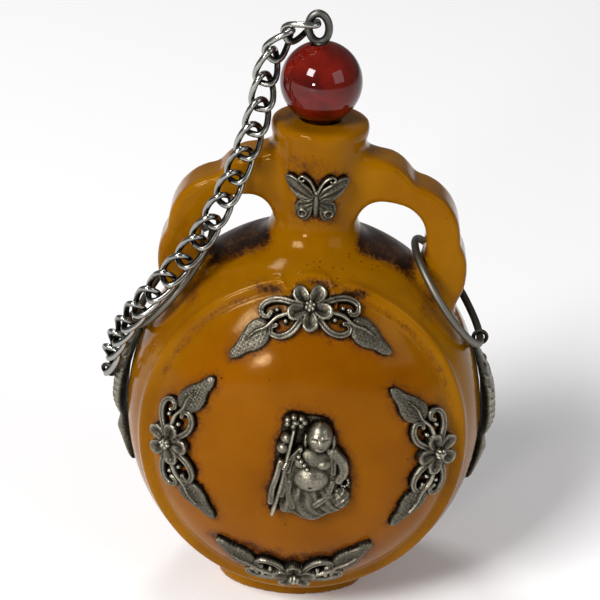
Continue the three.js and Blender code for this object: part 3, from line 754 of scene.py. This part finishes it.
def monkForms(u, v):
    s = monkShape
    ground, height = plate(u, v, monkGround, *s["groundPlate"])
    rough, roughSize = s["groundRipple"]
    forms = [(ground, height - rough * ripple(u, v, roughSize)), robeForm(u, v)]
    belly, height = dome(u, v, *s["belly"])
    navel = np.hypot(u - s["navelAt"][0], v - s["navelAt"][1])
    forms.append((belly, height - s["navel"] * hill(navel, s["navelSpread"])))
    head, height = dome(u, v, *s["head"])
    (headU, headV), (halfU, halfV) = s["head"][:2]
    forms.append((head, height + calmFace((u - headU) / halfU, (v - headV) / halfV)))
    sack, height = dome(u, v, *s["sack"])
    net = np.maximum(np.cos(s["net"] * (u + v)), np.cos(s["net"] * (u - v)))  # woven net over the sack
    forms.append((sack, height - s["netDepth"] * (1 - step(net, *s["netCord"]))))
    forms += [dome(u, v, *row) for row in s["domes"].values()]
    forms += [wire(u, v, knots, *s["lapel"]) for knots in s["lapels"]]
    forms += [wire(u, v, knots, *s["drape"]) for knots in s["drapes"]]
    forms += [wire(u, v, *s["staff"]), wire(u, v, *s["arm"])]
    forms += [dome(u, v, at, *s["neckBead"]) for at in s["necklace"]]
    forms += [dome(u, v, at, *s["staffKnot"]) for at in ringOf(*s["staffKnots"])]
    forms += [dome(u, v, at, *s["stringBead"]) for at in ringOf(*s["string"])]
    forms += [dome(u, v, at, *s["finger"]) for at in s["fingers"]]
    return merged(forms)


def seatMonk(u, v, h):
    return onPanel(u + monkShape["centre"][0], v + monkShape["centre"][1], h)


castings.append((castRelief(monkShape, monkForms, seatMonk), "monk_figure"))
print("butterfly and figure cast")


# wires: links, rings and eyelets

def wireLoop(route, radius, steps, sides, shine=0.5):  # closed round wire along route(turn)
    span, small = 10, 1e-3  # radius of the first ring and a small turn
    deselectAll()
    bpy.ops.mesh.primitive_torus_add(
        major_radius=span, minor_radius=radius, major_segments=steps, minor_segments=sides)
    obj = bpy.context.object
    co = getPoints(obj)
    turn = np.arctan2(co[:, 1], co[:, 0])
    spot = route(turn)
    along = unit(route(turn + small) - route(turn - small))
    middle = (route(np.array([0.0])) + route(np.array([math.pi]))) / 2
    out = spot - middle
    out = unit(out - along * (out * along).sum(axis=1, keepdims=True))
    proud = np.hypot(co[:, 0], co[:, 1]) - span
    setPoints(obj, spot + out * proud[:, None] + np.cross(out, along) * co[:, 2:3])
    turnOutwards(obj)
    setAttribute(obj, "relief", shine * (1 + proud / radius))  # painted light on the outside of the bend, painted shade inside it
    return obj


def circleRoute(centre, radius, axisA, axisB):
    def route(turn):
        return np.asarray(centre) + radius * (np.cos(turn)[:, None] * axisA + np.sin(turn)[:, None] * axisB)
    return route


chainShape = {
    "length": 6.2, "width": 4.2, "wire": 0.95, "count": 18, "gap": 0.5,
    "twist": math.pi / 4, "roundness": 0.62,
    "rollPerLink": math.radians(8), "unroll": 6, "inFront": 9, "steps": 56, "sides": 14, "routeSteps": 6000,
    "knots": [(-4.6, -0.2, 94.0), (-8.0, -1.6, 90.0), (-9.0, -4.0, 82.8), (-11.3, -6.8, 75.6),
              (-14.0, -7.9, 69.0), (-17.2, -8.8, 62.9), (-21.4, -9.3, 57.3), (-26.3, -8.2, 50.7),
              (-30.0, -4.8, 42.8), (-31.15, -2.0, 36.0)],
}
stopperShape = {
    "beadRadius": 6.15, "beadShift": -0.25, "rise": 5.7, "lean": math.radians(-7.5),
    "socketRadius": 1.15, "socketDepth": 2.8, "chamfer": 0.25, "arcSteps": 48, "beadSteps": 96,
    "stemRise": 0.4, "stemFoot": [(0, 0), (0.75, 0), (0.8, 0.2)], "collar": [(0.8, -0.1), (0.95, 0.05)],
    "stemHead": [(0.9, -0.05), (0.55, 0.2), (0, 0.25)], "stemSteps": 40, "stemShine": 0.45,
    "eyeHalf": (1.5, 2.17), "eyeMiddle": 8.38, "eyeWire": 0.6, "eyeSteps": 64, "eyeSides": 18,
    "chainFrom": 9.0,
}
leanAxis = np.array([math.sin(stopperShape["lean"]), 0, math.cos(stopperShape["lean"])])
beadCentre = np.array([0, 0, neckShape["rimZ"] + stopperShape["rise"]])
socketMouth = stopperShape["socketRadius"] + stopperShape["chamfer"]
beadTopZ = math.sqrt(stopperShape["beadRadius"] ** 2 - socketMouth**2)  # above the bead's own middle


def linkRoute(turn):  # rounded oval with a twist from end to end
    s = chainShape
    long = np.sign(np.cos(turn)) * np.abs(np.cos(turn)) ** s["roundness"]
    wide = np.sign(np.sin(turn)) * np.abs(np.sin(turn)) ** s["roundness"]
    wide = wide * (s["width"] - s["wire"]) / 2
    twist = s["twist"] * long
    along = long * (s["length"] - s["wire"]) / 2
    return np.stack([along, wide * np.cos(twist), wide * np.sin(twist)], axis=1)


def linkPlaces():  # middle and axes of each link
    s = chainShape
    first = beadCentre + leanAxis * stopperShape["chainFrom"]
    route = smoothRoute([first, *s["knots"]], s["routeSteps"])
    goal = (s["wire"] + s["gap"]) / 2
    last, crossings = route[0], []
    for spot in route:
        if np.linalg.norm(spot - last) < goal:
            continue
        crossings.append(spot)
        last, goal = spot, s["length"] - 2 * s["wire"] - s["gap"]
        if len(crossings) > s["count"]:
            break
    places = []
    front = np.array([0, -1.0, 0])
    for i, (start, end) in enumerate(zip(crossings[:-1], crossings[1:])):
        along = (end - start) / np.linalg.norm(end - start)
        rolled = max(0, 1 - i / s["unroll"]) * s["twist"]
        rolled -= max(0, i - s["inFront"]) * s["rollPerLink"]
        face = front * math.cos(rolled) + np.cross(front, along) * math.sin(rolled)
        face -= along * (face @ along)
        face /= np.linalg.norm(face)
        places.append(((start + end) / 2, np.stack([along, np.cross(face, along), face])))
    return places


links = linkPlaces()
template = wireLoop(linkRoute, chainShape["wire"] / 2, chainShape["steps"], chainShape["sides"])
for i, (centre, axes) in enumerate(links):
    link = newObject(template.data.copy())  # each link has its own mesh
    setPoints(link, getPoints(template) @ axes + centre)
    finishPiece(link, f"chainLink{i + 1:02d}", [f"chain_link_{i + 1:02d}"], chainWire, 60)
bpy.data.objects.remove(template)
print("chain linked", len(links))


# wire rings through the handles, with a butted joint

ringShape = {
    "wire": 0.6, "halfWidth": 9.0, "inner": (15.6, 0, 60.6), "outer": (27.0, 0, 45.3),
    "steps": 120, "sides": 14,
    "buttTurn": 2.2, "buttAway": 0.62, "buttSpread": 0.12, "buttDepth": 0.006,
}


def ringRoute(side):
    inner, outer = np.array(ringShape["inner"]), np.array(ringShape["outer"])

    def route(turn):
        spot = (inner + outer) / 2 + np.cos(turn)[:, None] * (outer - inner) / 2
        spot[:, 1] = ringShape["halfWidth"] * np.sin(turn)
        return spot * np.array([side, side, 1])
    return route


def makeRing(side):
    route = ringRoute(side)
    ring = wireLoop(route, ringShape["wire"], ringShape["steps"], ringShape["sides"])
    co = getPoints(ring)
    away = np.linalg.norm(co - route(np.array([ringShape["buttTurn"]])), axis=1)
    butt = hill(away - ringShape["buttAway"], ringShape["buttSpread"])  # shallow nick where the ends meet
    setPoints(ring, co + (co.mean(axis=0) - co) * ringShape["buttDepth"] * butt[:, None])
    return ring


# carp pendants: scaled body, gill cover, fins and a forked tail, bowed along the bottle's side

carpShape = {
    "length": 24.0, "bow": 0.35, "gap": 0.15, "box": ((-4.9, -24.2), (4.9, 0.9)), "spacing": 0.16,
    "relief": {"rim": 0.45, "sunk": 0.0, "spread": 12, "gain": 1.6, "base": 0.52},
    "outline": [(0.0, 0.4), (1.2, -0.2), (2.4, -1.8), (3.5, -4.6), (4.1, -8.0), (3.9, -11.5), (2.8, -14.4),
                (1.6, -16.2), (2.1, -17.8), (3.8, -20.6), (4.0, -22.3), (2.2, -21.6), (0.9, -20.2),
                (0.0, -19.8)],
    "thickness": [(0, 0.9), (2.5, 1.3), (7, 1.95), (12, 1.95), (15.9, 1.2), (18.4, 1.95), (20.5, 1.5),
                  (24, 1.1)],
    "plate": (1.0, 1.7), "scaleRoom": 0.15, "least": 0.05,
    "scale": 1.15, "scaleHeight": 0.22, "scaleNarrow": 1.5, "scaleShift": 0.1,
    "scalesFrom": (5.8, 6.6), "scalesTo": (-16.2, -15.2),
    "gill": 0.2, "gillFall": 5.4, "gillBend": 0.12, "gillSpread": 0.3,
    "rays": 9, "rayDepth": 0.12, "rayRoot": 13, "raysFrom": (17.0, 18.0),
    "pairs": [  # eyes and fins
        ((1.5, -3.2), (0.55, 0.55), 0.35, 0.75), ((3.0, -7.4), (0.6, 1.5), 0.3, 0.8, -0.35),
    ],
    # the eyelet's wire, steps, sides and its level of painted light and shade
    "hangX": 27.0, "hangZ": 45.3, "eyeletRadius": 1.04, "eyelet": (0.32, 40, 10, 0.25),
}
half = carpShape["outline"]
carpOutline = roundOutline(half + [(-x, v) for x, v in half[-2:0:-1]], 4)


def carpForms(u, v):
    s = carpShape
    body, roll = plate(u, v, carpOutline, *s["plate"])
    fall = -v
    rank = np.floor(fall / s["scale"])
    across = (u / s["scale"] + 0.5 * (rank % 2)) % 1 - 0.5
    down = (fall / s["scale"]) % 1 - s["scaleShift"]
    scales = s["scaleHeight"] * np.clip(1 - np.hypot(across * s["scaleNarrow"], down), 0, 1)
    scales = scales * (step(fall, *s["scalesFrom"]) * step(-fall, *s["scalesTo"]))
    gill = s["gill"] * hill(fall - s["gillFall"] + s["gillBend"] * u * u, s["gillSpread"])
    rays = s["rayDepth"] * np.cos(s["rays"] * np.arctan2(u, fall - s["rayRoot"]))
    rays = rays * step(fall, *s["raysFrom"])
    depth = np.interp(fall, *zip(*s["thickness"])) - s["relief"]["rim"] - s["scaleRoom"]
    forms = [(body, np.maximum(roll * depth + scales + gill + rays, s["least"]))]
    forms += [dome(np.abs(u), v, *row) for row in s["pairs"]]
    return merged(forms)


def seatCarp(side):
    def seat(u, v, h):
        z = carpShape["hangZ"] - carpShape["eyeletRadius"] + v
        reach = (1 - (np.abs(u) / bodyShape["halfDepth"]) ** bodyShape["power"]) ** (2 / bodyShape["power"])
        edge = np.clip(reach - ((z - bodyShape["centreZ"]) / bodyShape["halfHeight"]) ** 2, 0, 1)
        bow = carpShape["bow"] * np.sin(-math.pi * v / carpShape["length"])
        x = bodyShape["halfWidth"] * np.sqrt(edge) + carpShape["gap"] + bow
        return np.stack([side * (x + h), side * u, z], axis=1)
    return seat


def makeEyelet(centre, axisA, axisB):
    return wireLoop(circleRoute(centre, carpShape["eyeletRadius"], axisA, axisB), *carpShape["eyelet"])


def makeCarp(side):
    carp = castRelief(carpShape, carpForms, seatCarp(side))
    hang = np.array([side * carpShape["hangX"], 0, carpShape["hangZ"]])
    pieces = [carp, makeEyelet(hang, np.array([1.0, 0, 0]), np.array([0, 0, 1.0]))]
    if side < 0:  # lug round the end of the last link
        centre, axes = links[-1]
        tip = centre + axes[0] * (chainShape["length"] - chainShape["wire"]) / 2
        wireAxis = axes[1] * math.cos(chainShape["twist"]) + axes[2] * math.sin(chainShape["twist"])
        pieces.append(makeEyelet(tip, axes[0], np.cross(wireAxis, axes[0])))
    return joinPieces(pieces)


for side, hand in ((1, "right"), (-1, "left")):
    ring = makeRing(side)
    finishPiece(ring, f"handleRing{hand.capitalize()}", [f"handle_ring_{hand}"], ringWire, 60)
    carp = makeCarp(side)
    finishPiece(carp, f"carp{hand.capitalize()}", [f"carp_{hand}"], cast, 50)
print("rings and carp hung")


# stopper: drilled bead and a wire eye with a collar

def leaned(obj):  # from upright at zero to the leaning stopper
    turn = Matrix.Rotation(stopperShape["lean"], 4, "Y")
    obj.data.transform(Matrix.Translation(Vector(beadCentre)) @ turn)


def makeBead():
    s = stopperShape
    radius, socket = s["beadRadius"], s["socketRadius"]
    floorZ = beadTopZ - s["socketDepth"]
    profile = [(0, floorZ), (socket, floorZ), (socket, beadTopZ - s["chamfer"]), (socketMouth, beadTopZ)]
    first = math.asin(socketMouth / radius)
    for i in range(1, s["arcSteps"]):
        angle = first + (math.pi - first) * i / s["arcSteps"]
        profile.append((radius * math.sin(angle), radius * math.cos(angle)))
    bead = spinProfile([*profile, (0, -radius)], s["beadSteps"])
    leaned(bead)
    bead.data.transform(Matrix.Translation((s["beadShift"], 0, 0)))
    return bead


def eyeRoute(turn):
    halfX, halfZ = stopperShape["eyeHalf"]
    z = stopperShape["eyeMiddle"] + halfZ * np.sin(turn)
    return np.stack([halfX * np.cos(turn), 0 * turn, z], axis=1)


def makeEye():
    s = stopperShape
    footZ = beadTopZ - s["socketDepth"] + s["stemRise"]
    headZ = s["eyeMiddle"] - s["eyeHalf"][1]
    levels = ((footZ, s["stemFoot"]), (beadTopZ, s["collar"]), (headZ, s["stemHead"]))
    stem = spinProfile([(r, level + z) for level, rows in levels for r, z in rows], s["stemSteps"])
    setAttribute(stem, "relief", np.full(len(stem.data.vertices), s["stemShine"]))
    eye = joinPieces([wireLoop(eyeRoute, s["eyeWire"], s["eyeSteps"], s["eyeSides"]), stem])
    leaned(eye)
    return eye


finishPiece(makeBead(), "stopperBead", ["stopper_bead"], carnelian, 35)
finishPiece(makeEye(), "stopperEye", ["stopper_eye"], eyeWire, 50)
print("stopper set")


# bottle: lens, neck, foot and handles run together, then hollowed

handleShape = {
    "thickness": 7.6, "start": (2.8, 75.8), "curveSteps": 12,
    "outline": [  # one point for a straight stretch, three for a curve
        [(7.6, 76.0)], [(9.2, 74.9), (12.6, 75.8), (14.9, 71.5)],
        [(18.6, 71.2), (22.7, 67.4), (22.3, 62.0)],
        [(24.4, 59.7), (24.0, 55.4), (22.8, 52.4)], [(21.0, 48.6)], [(15.4, 52.0)], [(16.3, 57.0)],
        [(17.6, 60.4), (18.6, 68.6), (10.6, 68.6)], [(8.2, 68.6), (6.9, 67.6), (6.2, 64.8)], [(2.8, 64.8)],
    ],
}
footShape = {
    "halfWidth": 12.2, "halfDepth": 7.8, "height": 4.2, "overlap": 2, "taper": 0.97, "shift": -0.5,
    "sides": 128,
}
bottleShape = {
    "voxel": 0.42, "wall": 3.4, "lensSides": (160, 96), "chamberSides": (64, 32),
    "relax": 0.5, "soften": 7, "fillet": 34, "footShare": 0.6, "armShare": 0.28,
    "armGap": 0.5, "armX": 7.5, "armZ": 45, "flatZ": 0.3, "onLens": (0.25, 0.6), "lensFromZ": (4.0, 6.0),
    "snapReach": 0.21, "snapShare": 0.8, "nearLens": (0.5, 1.2),
}
jointMasks = {  # what is measured, where the mask is 0 and where it is 1
    "neck": [("z", 57.5, 60.0), ("away", 13.5, 10.5), ("z", 67.0, 64.0)],
    "handle": [("z", 44.0, 48.0), ("depth", 8.0, 5.5), ("side", 11.5, 14.5), ("gap", 3.5, 1.5)],
    "neckSide": [("z", 62.5, 64.5), ("z", 78.0, 76.0), ("side", 11.0, 8.5), ("side", 2.8, 4.6)],
    "foot": [("z", 1.6, 3.0), ("z", 6.5, 4.5)],
}


def makeLens(edgeInset, faceInset, segments, rings):  # sphere with poles on Y, swelled to the body's lens
    deselectAll()
    bpy.ops.mesh.primitive_uv_sphere_add(segments=segments, ring_count=rings, radius=1)
    obj = bpy.context.object
    co = getPoints(obj)[:, [0, 2, 1]]
    power = 2 / bodyShape["power"]
    swing = np.hypot(co[:, 0], co[:, 2])
    reach = np.where(swing > tiny, np.maximum(swing, tiny) ** (power - 1), 0)
    x = (bodyShape["halfWidth"] - edgeInset) * reach * co[:, 0]
    y = (bodyShape["halfDepth"] - faceInset) * np.sign(co[:, 1]) * np.abs(co[:, 1]) ** power
    z = bodyShape["centreZ"] + (bodyShape["halfHeight"] - edgeInset) * reach * co[:, 2]
    setPoints(obj, np.stack([x, y, z], axis=1))
    turnOutwards(obj)
    return obj


def handleOutline():
    route = [np.array(handleShape["start"])]
    for knots in handleShape["outline"]:
        if len(knots) == 1:
            route.append(np.array(knots[0]))
            continue
        p0, (p1, p2, p3) = route[-1], (np.array(k) for k in knots)
        for t in np.linspace(0, 1, handleShape["curveSteps"] + 1)[1:]:
            s = 1 - t
            route.append(s**3 * p0 + 3 * s * s * t * p1 + 3 * s * t * t * p2 + t**3 * p3)
    return route


def makeHandle(side):
    outline = handleOutline()
    thickness = handleShape["thickness"]
    mesh = bpy.data.meshes.new("handle")
    mesh.from_pydata([(side * x, -thickness / 2, z) for x, z in outline], [], [list(range(len(outline)))])
    obj = newObject(mesh)
    editAll(obj)
    bpy.ops.mesh.extrude_region_move(TRANSFORM_OT_translate={"value": (0, thickness, 0)})
    bpy.ops.object.mode_set(mode="OBJECT")
    turnOutwards(obj)
    return obj


def makeFoot():
    f = footShape
    tall = f["height"] + f["overlap"]
    deselectAll()
    bpy.ops.mesh.primitive_cylinder_add(vertices=f["sides"], radius=1, depth=tall)
    obj = bpy.context.object
    x, y, z = getPoints(obj).T
    z = z + tall / 2
    narrow = 1 + (f["taper"] - 1) * z / f["height"]
    x = x * f["halfWidth"] * narrow + f["shift"]
    setPoints(obj, np.stack([x, y * f["halfDepth"] * narrow, z], axis=1))
    return obj


def makeNeck():
    n = neckShape
    flare, root, rim, lip = n["flareRadius"], n["rootZ"], n["rimZ"], n["rimZ"] - n["lipHeight"]
    profile = [(0, root), (flare, root), (flare, n["flareZ"]), *n["flareCurve"]]
    profile += [(neckRadius(z), z) for z in np.linspace(n["waistZ"], lip - n["lipGap"], n["waistSteps"])]
    profile += [(n["lipRadius"] + r, lip + z) for r, z in n["lipCurve"]]
    profile += [(n["lipRadius"] + r, rim + z) for r, z in n["rimCurve"]]
    return spinProfile([*profile, (0, rim)], n["sides"])


def lensField(co):  # below zero inside the body's lens, with its slope
    a, c, t = bodyShape["halfWidth"], bodyShape["halfHeight"], bodyShape["halfDepth"]
    p = bodyShape["power"]
    x, y, z = co[:, 0], co[:, 1], co[:, 2] - bodyShape["centreZ"]
    rho = np.maximum(np.hypot(x / a, z / c), tiny)
    flat = np.abs(y) / t
    pull = p * rho ** (p - 2)
    slope = np.stack([pull * x / a**2, p * flat ** (p - 1) * np.sign(y) / t, pull * z / c**2], axis=1)
    return rho**p + flat**p - 1, slope


def lensGap(co):  # distance from the lens and the way out of it
    value, slope = lensField(co)
    return value / np.linalg.norm(slope, axis=1), unit(slope)


def pullToLens(co, share, rounds):
    for _ in range(rounds):
        value, slope = lensField(co)
        co = co - (share * value / (slope**2).sum(axis=1))[:, None] * slope
    return co


def relax(co, edges, share, rounds):  # towards the mean of the neighbours
    for _ in range(rounds):
        co = co + share * (neighbourMean(co, edges, len(co)) - co)
    return co


def panelDepth(x, y, z):  # distance inside the ridge line of the panel, mirrored on the back
    s = bodyShape
    x = x * np.where(y < 0, 1, -1)
    dz = z - s["centreZ"]
    rho = np.maximum(np.hypot(x / s["ridgeHalfWidth"], dz / s["ridgeHalfHeight"]), tiny)
    head = step(dz, s["headFrom"], s["headTo"])
    off = np.abs(x - s["headShift"])
    d = np.hypot(x, dz) * (1 / rho - 1) - head * s["cuspDrop"] * hill(off - s["cuspX"], s["cuspSpread"])
    return d + head * s["crownRise"] * hill(off, s["crownSpread"])


def maskOf(measures, rows):
    mask = 1.0
    for name, none, full in rows:
        rise = step(measures[name], min(none, full), max(none, full))
        mask = mask * (rise if none < full else 1 - rise)
    return mask


def shapeBottle(bottle):
    b = bottleShape
    co, edges = getPoints(bottle), meshEdges(bottle)
    x, y, z = co.T
    gap = lensGap(co)[0]
    measures = {"z": z, "side": np.abs(x), "depth": np.abs(y), "away": np.hypot(x, y), "gap": gap}
    neck, handle, neckSide, foot = (maskOf(measures, rows) for rows in jointMasks.values())
    joint = np.clip(neck + handle + neckSide + b["footShare"] * foot, 0, 1)
    arm = (gap > b["armGap"]) * (np.abs(x) > b["armX"]) * (z > b["armZ"])
    rounding = np.clip(joint + b["armShare"] * arm, 0, 1)
    co = relax(co, edges, b["relax"], b["soften"])
    co = relax(co, edges, (b["relax"] * rounding)[:, None], b["fillet"])
    onLens = (1 - joint) * (1 - step(np.abs(gap), *b["onLens"])) * step(z, *b["lensFromZ"])
    co = pullToLens(co, onLens, 3)  # back on to the true lens away from the joints
    co[:, 2] *= step(co[:, 2], 0, b["flatZ"])  # flat underside
    # points near the ridge of a panel are moved on to its line
    x, y, z = co.T
    nudge, leastSlope, mostlyLens = 0.05, 0.3, 0.9
    inside = panelDepth(x, y, z)
    du = (panelDepth(x + nudge, y, z) - inside) / nudge
    dv = (panelDepth(x, y, z + nudge) - inside) / nudge
    snap = -b["snapShare"] * inside / np.maximum(du**2 + dv**2, leastSlope)
    snap = np.where((np.abs(inside) < b["snapReach"]) & (onLens > mostlyLens), snap, 0)
    co = pullToLens(np.stack([x + snap * du, y, z + snap * dv], axis=1), onLens, 2)
    # panels sunk inside the raised ridge
    gap, normal = lensGap(co)
    inside = panelDepth(*co.T)
    sunk = bodyShape["sink"] * step(inside, 0.0, bodyShape["slope"])
    sunk = sunk - bodyShape["ridge"] * hill(inside, bodyShape["ridgeSpread"])
    near = 1 - step(np.abs(gap), *b["nearLens"])
    setPoints(bottle, co - normal * (near * sunk)[:, None])


def hollowBottle(bottle):  # chamber that follows the body, and a bore up the neck
    n = neckShape
    radius, wide, top = n["boreRadius"], n["boreRadius"] + n["boreChamfer"], n["rimZ"] + n["boreAbove"]
    profile = [(0, n["boreBottomZ"]), (radius, n["boreBottomZ"]), (radius, n["rimZ"] - n["boreChamfer"])]
    profile += [(wide, n["rimZ"] + n["boreLift"]), (wide, top), (0, top)]
    bore = spinProfile(profile, n["boreSides"], n["boreStart"])
    wall = bottleShape["wall"]
    chamber = makeLens(wall, wall + bodyShape["sink"], *bottleShape["chamberSides"])
    applyModifier(chamber, "BOOLEAN", operation="UNION", solver="EXACT", object=bore)
    applyModifier(bottle, "BOOLEAN", operation="DIFFERENCE", solver="EXACT", object=chamber)
    bpy.data.objects.remove(bore)
    bpy.data.objects.remove(chamber)


lens = makeLens(0, 0, *bottleShape["lensSides"])
bottle = joinPieces([lens, makeNeck(), makeFoot(), makeHandle(1), makeHandle(-1)])
applyModifier(bottle, "REMESH", mode="VOXEL", voxel_size=bottleShape["voxel"], use_smooth_shade=True)
print("bottle remeshed", len(bottle.data.vertices))
shapeBottle(bottle)
print("bottle shaped")
hollowBottle(bottle)
print("bottle hollowed", len(bottle.data.polygons))


# dirt, tone and pinholes on the bottle's own points

dirtShape = {  # patches as strength and rows of measure, middle and spread, then masks as for the joints
    "castEdge": ([(1.5, [("cast", 0, 0.38)])], []),
    "castHalo": ([(0.4, [("cast", 0, 1.4)])], []),
    "shoulder": ([(0.95, [])], [("side", 5.2, 7.4), ("side", 17.5, 14.5), ("behind", 8.8, 5.0),
                                ("z", 54.0, 56.5), ("z", 64.0, 62.0)]),
    "lobes": ([(0.95, [("side", 6.4, 2.4), ("z", 57.6, 0.95)]),
               (0.95, [("x", 0.9, 2.4), ("z", 58.9, 0.7)])], []),
    "upperBand": ([(0.4, [("inside", 1.3, 0.7)])], [("depth", 6, 9), ("z", 36, 46), ("z", 58, 55)]),
    "band": ([(0.18, [("inside", 1.3, 0.7)])], [("depth", 6, 9)]),
    "ring": ([(0.85, [("side", 15.8, 1.6), ("z", 60.2, 2.2)]),
              (0.51, [("side", 18.5, 2), ("z", 55, 2.5)])], []),
    "neck": ([(0.48, [("x", -1.8, 4.0), ("z", 75.2, 1.8)])], [("front", 0, 4)]),
    "crust": ([(0.85, [("cast", 0, 2.1)])], [("z", 19, 15.5), ("z", 8, 11), ("front", 0, 4)]),
    # a faint darker band round the join of body and foot
    "foot": ([(0.22, [("z", 3.6, 0.9)])], []),
}
surfaceShape = {
    "tone": [("inside", 0.0, 5.0), ("level", 30, 27)], "behindY": 1.5,
    "pits": ([(0.45, [("x", 2.8, 4.5), ("z", 60.3, 1.3)])], [("front", 0, 4)]), "strayPits": 0.01,
}


def patchOf(measures, rows):
    return np.exp(-sum(((measures[name] - middle) / spread) ** 2 for name, middle, spread in rows))


def deposit(measures, patches, masks):
    return sum(strength * patchOf(measures, rows) for strength, rows in patches) * maskOf(measures, masks)


def toCastings(co):  # distance from each point to the nearest casting
    points = np.vstack([getPoints(piece) for piece, _ in castings])
    tree = kdtree.KDTree(len(points))
    for index, spot in enumerate(points):
        tree.insert(spot, index)
    tree.balance()
    return np.array([tree.find(spot)[2] for spot in co])


def dirtyBottle(bottle):
    co = getPoints(bottle)
    x, y, z = co.T
    measures = {
        "x": x, "z": z, "side": np.abs(x), "depth": np.abs(y), "front": -y, "cast": toCastings(co),
        "behind": np.abs(y - surfaceShape["behindY"]), "level": np.abs(z - bodyShape["centreZ"]),
        "inside": panelDepth(x, y, z),
    }
    grime = np.maximum.reduce([deposit(measures, *rows) for rows in dirtShape.values()])
    setAttribute(bottle, "grime", grime)
    setAttribute(bottle, "tone", maskOf(measures, surfaceShape["tone"]))
    setAttribute(bottle, "pits", deposit(measures, *surfaceShape["pits"]) + surfaceShape["strayPits"])


dirtyBottle(bottle)
finishPiece(bottle, "amberBottle", ["bottle"], resin, 50)
for piece, node in castings:
    first, *words = node.split("_")
    name = first + "".join(word.capitalize() for word in words) + "Cast"
    finishPiece(piece, name, [node], cast, 50)
print("bottle finished")


# floor, lights and camera

studio = {
    "floor": "#fbfafa", "floorSize": 8, "floorRough": 0.9, "floorSpecular": 0.1,
    "world": 0.18, "worldTint": "#ffffff",
    "lights": {  # place and size in mm, power in watts, tint
        "overhead": ((-300, 430, 1280), (320, 190), 3.6, "#ffffff"),
        "key": ((-1180, -1420, 1540), (780, 780), 58.0, "#ffffff"),
        "lamp": ((-290, -760, 215), (80, 80), 1.7, "#fdf2f4"),
        "fill": ((1040, -760, 720), (760, 760), 4.0, "#f8faff"),
    },
    "aim": (0, 0, 45),
}


def makeFloor():
    deselectAll()
    bpy.ops.mesh.primitive_plane_add(size=studio["floorSize"])
    floor = bpy.context.object
    floor.name = "studioFloor"
    material, tree, shader = newMaterial("paperSweepMatt")  # matt white paper
    setInputs(tree, shader, {
        "Base Color": hexColour(studio["floor"]), "Roughness": studio["floorRough"],
        "Specular IOR Level": studio["floorSpecular"]})
    floor.data.materials.append(material)


def makeLights():
    for name, (place, size, power, tint) in studio["lights"].items():
        deselectAll()
        bpy.ops.object.light_add(type="AREA", location=[c * mm for c in place])
        lamp = bpy.context.object
        lamp.name = name
        lamp.data.shape = "RECTANGLE"
        lamp.data.size, lamp.data.size_y = (s * mm for s in size)
        lamp.data.energy = power
        lamp.data.color = hexColour(tint)[:3]
        aim = Vector(studio["aim"]) - Vector(place)
        lamp.rotation_euler = aim.to_track_quat("-Z", "Y").to_euler()
    world = bpy.data.worlds.new("paleRoom")
    world.use_nodes = True
    tree = world.node_tree
    light = {"Color": hexColour(studio["worldTint"]), "Strength": studio["world"]}
    setInputs(tree, tree.nodes["Background"], light)
    bpy.context.scene.world = world


view = {  # lengths in mm, angles in degrees, focal length in pixels of the frame
    "target": (-1.55, 0.0, 49.93), "distance": 320.0, "elevation": 26.27, "roll": 3.31,
    "focal": 2050.6, "frame": 600, "sensor": 36, "nearest": 10,
}


def makeCamera():
    up, roll = math.radians(view["elevation"]), math.radians(view["roll"])
    forward = Vector((0, math.cos(up), -math.sin(up)))
    right, above = Vector((1, 0, 0)), Vector((0, math.sin(up), math.cos(up)))
    axisX = right * math.cos(roll) + above * math.sin(roll)
    axisY = above * math.cos(roll) - right * math.sin(roll)
    place = (Vector(view["target"]) - forward * view["distance"]) * mm
    deselectAll()
    bpy.ops.object.camera_add(location=place)
    camera = bpy.context.object
    camera.matrix_world = Matrix.Translation(place) @ Matrix((axisX, axisY, -forward)).transposed().to_4x4()
    camera.data.sensor_width = view["sensor"]
    camera.data.lens = view["focal"] / view["frame"] * view["sensor"]
    camera.data.clip_start = view["nearest"] * mm
    bpy.context.scene.camera = camera


makeFloor()
makeLights()
makeCamera()
bpy.context.scene.view_settings.view_transform = "Standard"
print("studio ready")
